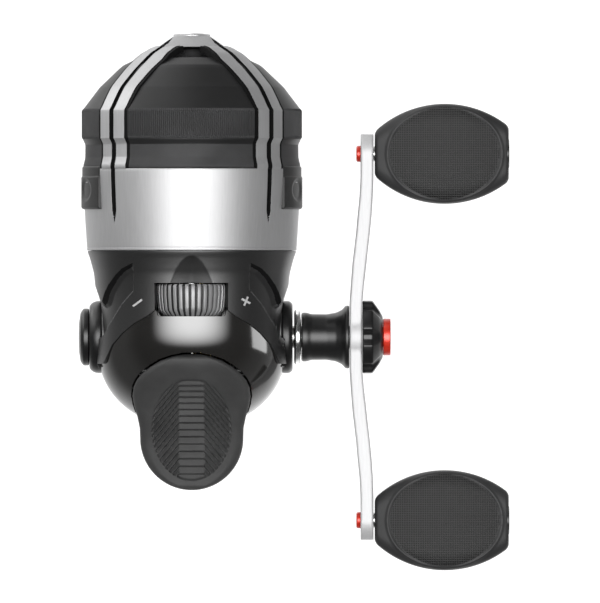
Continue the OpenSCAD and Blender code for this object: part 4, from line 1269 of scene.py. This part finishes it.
def make_foot():
    """Curved foot plate with a waisted stem, in one piece."""
    low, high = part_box("foot")
    length = (high[1] - low[1]) / MM
    width = (high[0] - low[0]) / MM
    mesh = Mesh()
    rows = []
    for t in np.sin(np.linspace(-math.pi / 2, math.pi / 2, 80)):
        y = t * length / 2
        toward_end = max(abs(y) - (length / 2 - 6), 0) / 6
        half = width / 2 * math.sqrt(max(1 - toward_end ** 2.2, 0.002))
        thick = float(np.interp(abs(y), [0, 18, length / 2], [2.6, 2.6, 1.0]))
        section = rounded([(-half, 0), (half, 0), (half * 0.96, thick), (-half * 0.96, thick)],
                          min(0.4, half * 0.4), 3)
        rows.append([(px, y, pz) for px, pz in section])
    mesh.grid(np.array(rows), closed=True, caps=True)
    stem_rows = []
    stem_middle = CRANK_ORIGIN[1] + 8
    for z, half_x, half_y in ((2.3, 5.4, 15.0), (3.0, 4.6, 13.6), (4.4, 4.1, 12.6), (6.5, 4.0, 12.1),
                              (9.0, 4.0, 12.0), (12.0, 4.05, 12.1), (15.5, 4.1, 12.1)):
        corners = [(-half_x, -half_y), (half_x, -half_y), (half_x, half_y), (-half_x, half_y)]
        section = rounded(corners, 3.0, 8)
        stem_rows.append([(px, py + stem_middle, z) for px, py in section])
    mesh.grid(np.array(stem_rows), closed=True, caps=True)
    piece = mesh.piece("foot_look", "reel_body", [M["foot"]], "foot_metal", origin=np.zeros(3))
    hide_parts("foot")


# ---- Carried-over CAD nodes ----

NODE_FINISH = {
    "deck_plate": "cast", "foot_screws": "steel", "case_screws": "steel", "crank_bearings": "brass",
    "pinion_bearings": "steel", "one_way_clutch": "steel", "drag_washers": "felt", "spool_clip": "steel",
    "pickup_cam": "ivory", "thumb_pivot_pin": "trim", "thumb_spring": "steel", "spool": "cast",
    "spool_line": "line", "drag_pinion": "steel", "drag_ring_gear": "ivory", "pinion_gear": "brass",
    "shaft_spring": "steel", "center_shaft": "steel", "shaft_clip": "steel", "spinner_head": "cast",
    "spinner_nut": "steel", "pin_springs": "steel", "pickup_pin_right": "chrome",
    "pickup_pin_left": "chrome",
    "thrust_cap": "ivory", "crank_shaft": "steel", "drive_gear": "brass", "gear_screws": "steel",
    "crank_shims": "steel", "knob_posts": "steel", "thumb_lever": "trim",
}


def finish_cad_nodes():
    """Gives the inner CAD nodes their finishes."""
    for node, finish in NODE_FINISH.items():
        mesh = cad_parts[node].data
        mesh.materials.clear()
        mesh.materials.append(M[finish])


# ---- Stage ----

SOFTBOX_STRENGTH = 8.3
GLOW_STRENGTH = 1.5
UNDER_STRENGTH = 0.4
GROUND_STRENGTH = 0.9
CAMERA_DISTANCE = 5.0
FRAME_HEIGHT = 0.1628
FRAME_SHIFT = (0.0017, 0.0001)
FLOOR_SIDE = 6.0
FLOOR_GAP = 0.0005


def area_light(name, place, aim, size, power):
    """A white card at place that looks at aim."""
    light = bpy.data.lights.new(name, "AREA")
    light.shape = "RECTANGLE"
    light.size, light.size_y = size
    light.energy = power
    holder = bpy.data.objects.new(name, light)
    holder.location = place
    direction = Vector(aim) - Vector(place)
    holder.rotation_euler = direction.to_track_quat("-Z", "Y").to_euler()
    holder.visible_camera = False
    bpy.context.collection.objects.link(holder)
    return holder


def make_floor():
    """Wide pale floor under the foot, lit white round the object."""
    low, high = CAD_BOX
    side = FLOOR_SIDE
    mesh = bpy.data.meshes.new("floor")
    corners = [(-side, -side, 0), (side, -side, 0), (side, side, 0), (-side, side, 0)]
    mesh.from_pydata(corners, [], [(0, 1, 2, 3)])
    floor = bpy.data.objects.new("floor", mesh)
    floor.location = ((low[0] + high[0]) / 2, (low[1] + high[1]) / 2, low[2] - FLOOR_GAP)
    bpy.context.collection.objects.link(floor)
    material, tree, shader = new_material("pale_floor")
    space = object_coordinates(tree, (1.0, 1.0, 1.0))
    cloud = noise(tree, space, 3.0)
    tree.links.new(ramp(tree, cloud, shade(0.18), shade(0.2), 0.0, 1.0), shader.inputs["Base Color"])
    shader.inputs["Roughness"].default_value = 0.9
    shader.inputs["Specular IOR Level"].default_value = 0.05
    shader.inputs["Emission Color"].default_value = (1, 1, 1, 1)
    length = tree.nodes.new("ShaderNodeVectorMath")
    length.operation = "LENGTH"
    tree.links.new(space, length.inputs[0])
    glow = soft_edge(tree, length.outputs["Value"], 0.24, 0.12, 0.55, 1.0)
    tree.links.new(glow, shader.inputs["Emission Strength"])
    mesh.materials.append(material)
    floor.visible_glossy = False


def make_world():
    """Studio surround: a soft round light straight above, a glow at the front left, dim elsewhere."""
    world = bpy.data.worlds.new("studio")
    world.use_nodes = True
    tree = world.node_tree
    coordinates = tree.nodes.new("ShaderNodeTexCoord")
    split = tree.nodes.new("ShaderNodeSeparateXYZ")
    tree.links.new(coordinates.outputs["Generated"], split.inputs[0])
    x, y, z = split.outputs
    up = combine(tree, "MAXIMUM", z, 0.05)
    across = combine(tree, "DIVIDE", x, up)
    along = combine(tree, "DIVIDE", y, up)
    across_squared = combine(tree, "MULTIPLY", across, across)
    along_squared = combine(tree, "MULTIPLY", along, along, 3.9)
    from_middle = calculate(tree, "POWER", combine(tree, "ADD", across_squared, along_squared), 0.5)
    softbox = combine(tree, "MULTIPLY", SOFTBOX_STRENGTH, soft_edge(tree, from_middle, 1.15, 0.12),
                      soft_edge(tree, z, 0.0, 0.2))
    tilted = combine(tree, "ADD", z, combine(tree, "MULTIPLY", y, 0.8))
    glow_edges = [soft_edge(tree, x, 0.2, -0.35), soft_edge(tree, y, 0.05, 0.5),
                  soft_edge(tree, z, 0.75, 0.35), soft_edge(tree, tilted, -0.5, 0.0)]
    glow = combine(tree, "MULTIPLY", GLOW_STRENGTH, *glow_edges)
    under_edges = [soft_edge(tree, z, 0.05, -0.6), soft_edge(tree, x, -0.2, 0.3),
                   soft_edge(tree, y, 0.5, 0.0)]
    under = combine(tree, "MULTIPLY", UNDER_STRENGTH, *under_edges)
    ground = soft_edge(tree, z, -0.3, -0.95, 0.0, GROUND_STRENGTH)
    horizon = soft_edge(tree, z, 0.45, 0.0, 0.08, 0.2)
    strength = combine(tree, "ADD", softbox, glow, under, ground, horizon)
    background = tree.nodes["Background"]
    background.inputs["Color"].default_value = (1, 1, 1, 1)
    tree.links.new(strength, background.inputs["Strength"])
    bpy.context.scene.world = world


def make_lights():
    """A standing card at the left, beside the cover, and a low one at the right that only the dome sees."""
    area_light("left_card", (-0.15, 0.13, 0.06), (0.0, 0.13, 0.06), (0.12, 0.25), 0.12)
    card = area_light("right_card", (0.13, -0.012, 0.058), (0.0, -0.012, 0.058), (0.065, 0.055), 0.046)
    lit = bpy.data.collections.new("lit_by_right_card")
    lit.objects.link(bpy.data.objects["rear_shell_look"])
    card.light_linking.receiver_collection = lit


def make_camera():
    """Long lens straight above, centred as the picture is framed."""
    low, high = CAD_BOX
    camera_data = bpy.data.cameras.new("camera")
    camera = bpy.data.objects.new("camera", camera_data)
    bpy.context.collection.objects.link(camera)
    middle_x = (low[0] + high[0]) / 2 + FRAME_SHIFT[0]
    middle_y = (low[1] + high[1]) / 2 + FRAME_SHIFT[1]
    camera.location = (middle_x, middle_y, BODY_ORIGIN[2] * MM + CAMERA_DISTANCE)
    camera.rotation_euler = (0, 0, 0)
    camera_data.sensor_width = 36
    camera_data.lens = camera_data.sensor_width * CAMERA_DISTANCE / FRAME_HEIGHT
    camera_data.clip_end = 20
    camera_data.dof.use_dof = False
    bpy.context.scene.camera = camera


def make_reel():
    """Every piece of the reel."""
    make_cover_frame()
    make_cover_cone()
    make_grip_pads()
    make_line_guide()
    make_gear_case()
    make_dome()
    make_thumb_pad()
    make_drag_wheel()
    make_crank_arm()
    make_crank_nut()
    make_crank_turnings()
    make_side_trim()
    make_knob("knob_front", "knob_front_body", "knob_front", 1)
    make_knob("knob_rear", "knob_rear_body", "knob_rear", -1)
    make_knob_screws()
    make_foot()
    finish_cad_nodes()


bpy.context.scene.view_settings.view_transform = "Standard"
make_camera()
make_world()
make_floor()
make_reel()
make_lights()
bpy.context.view_layer.update()
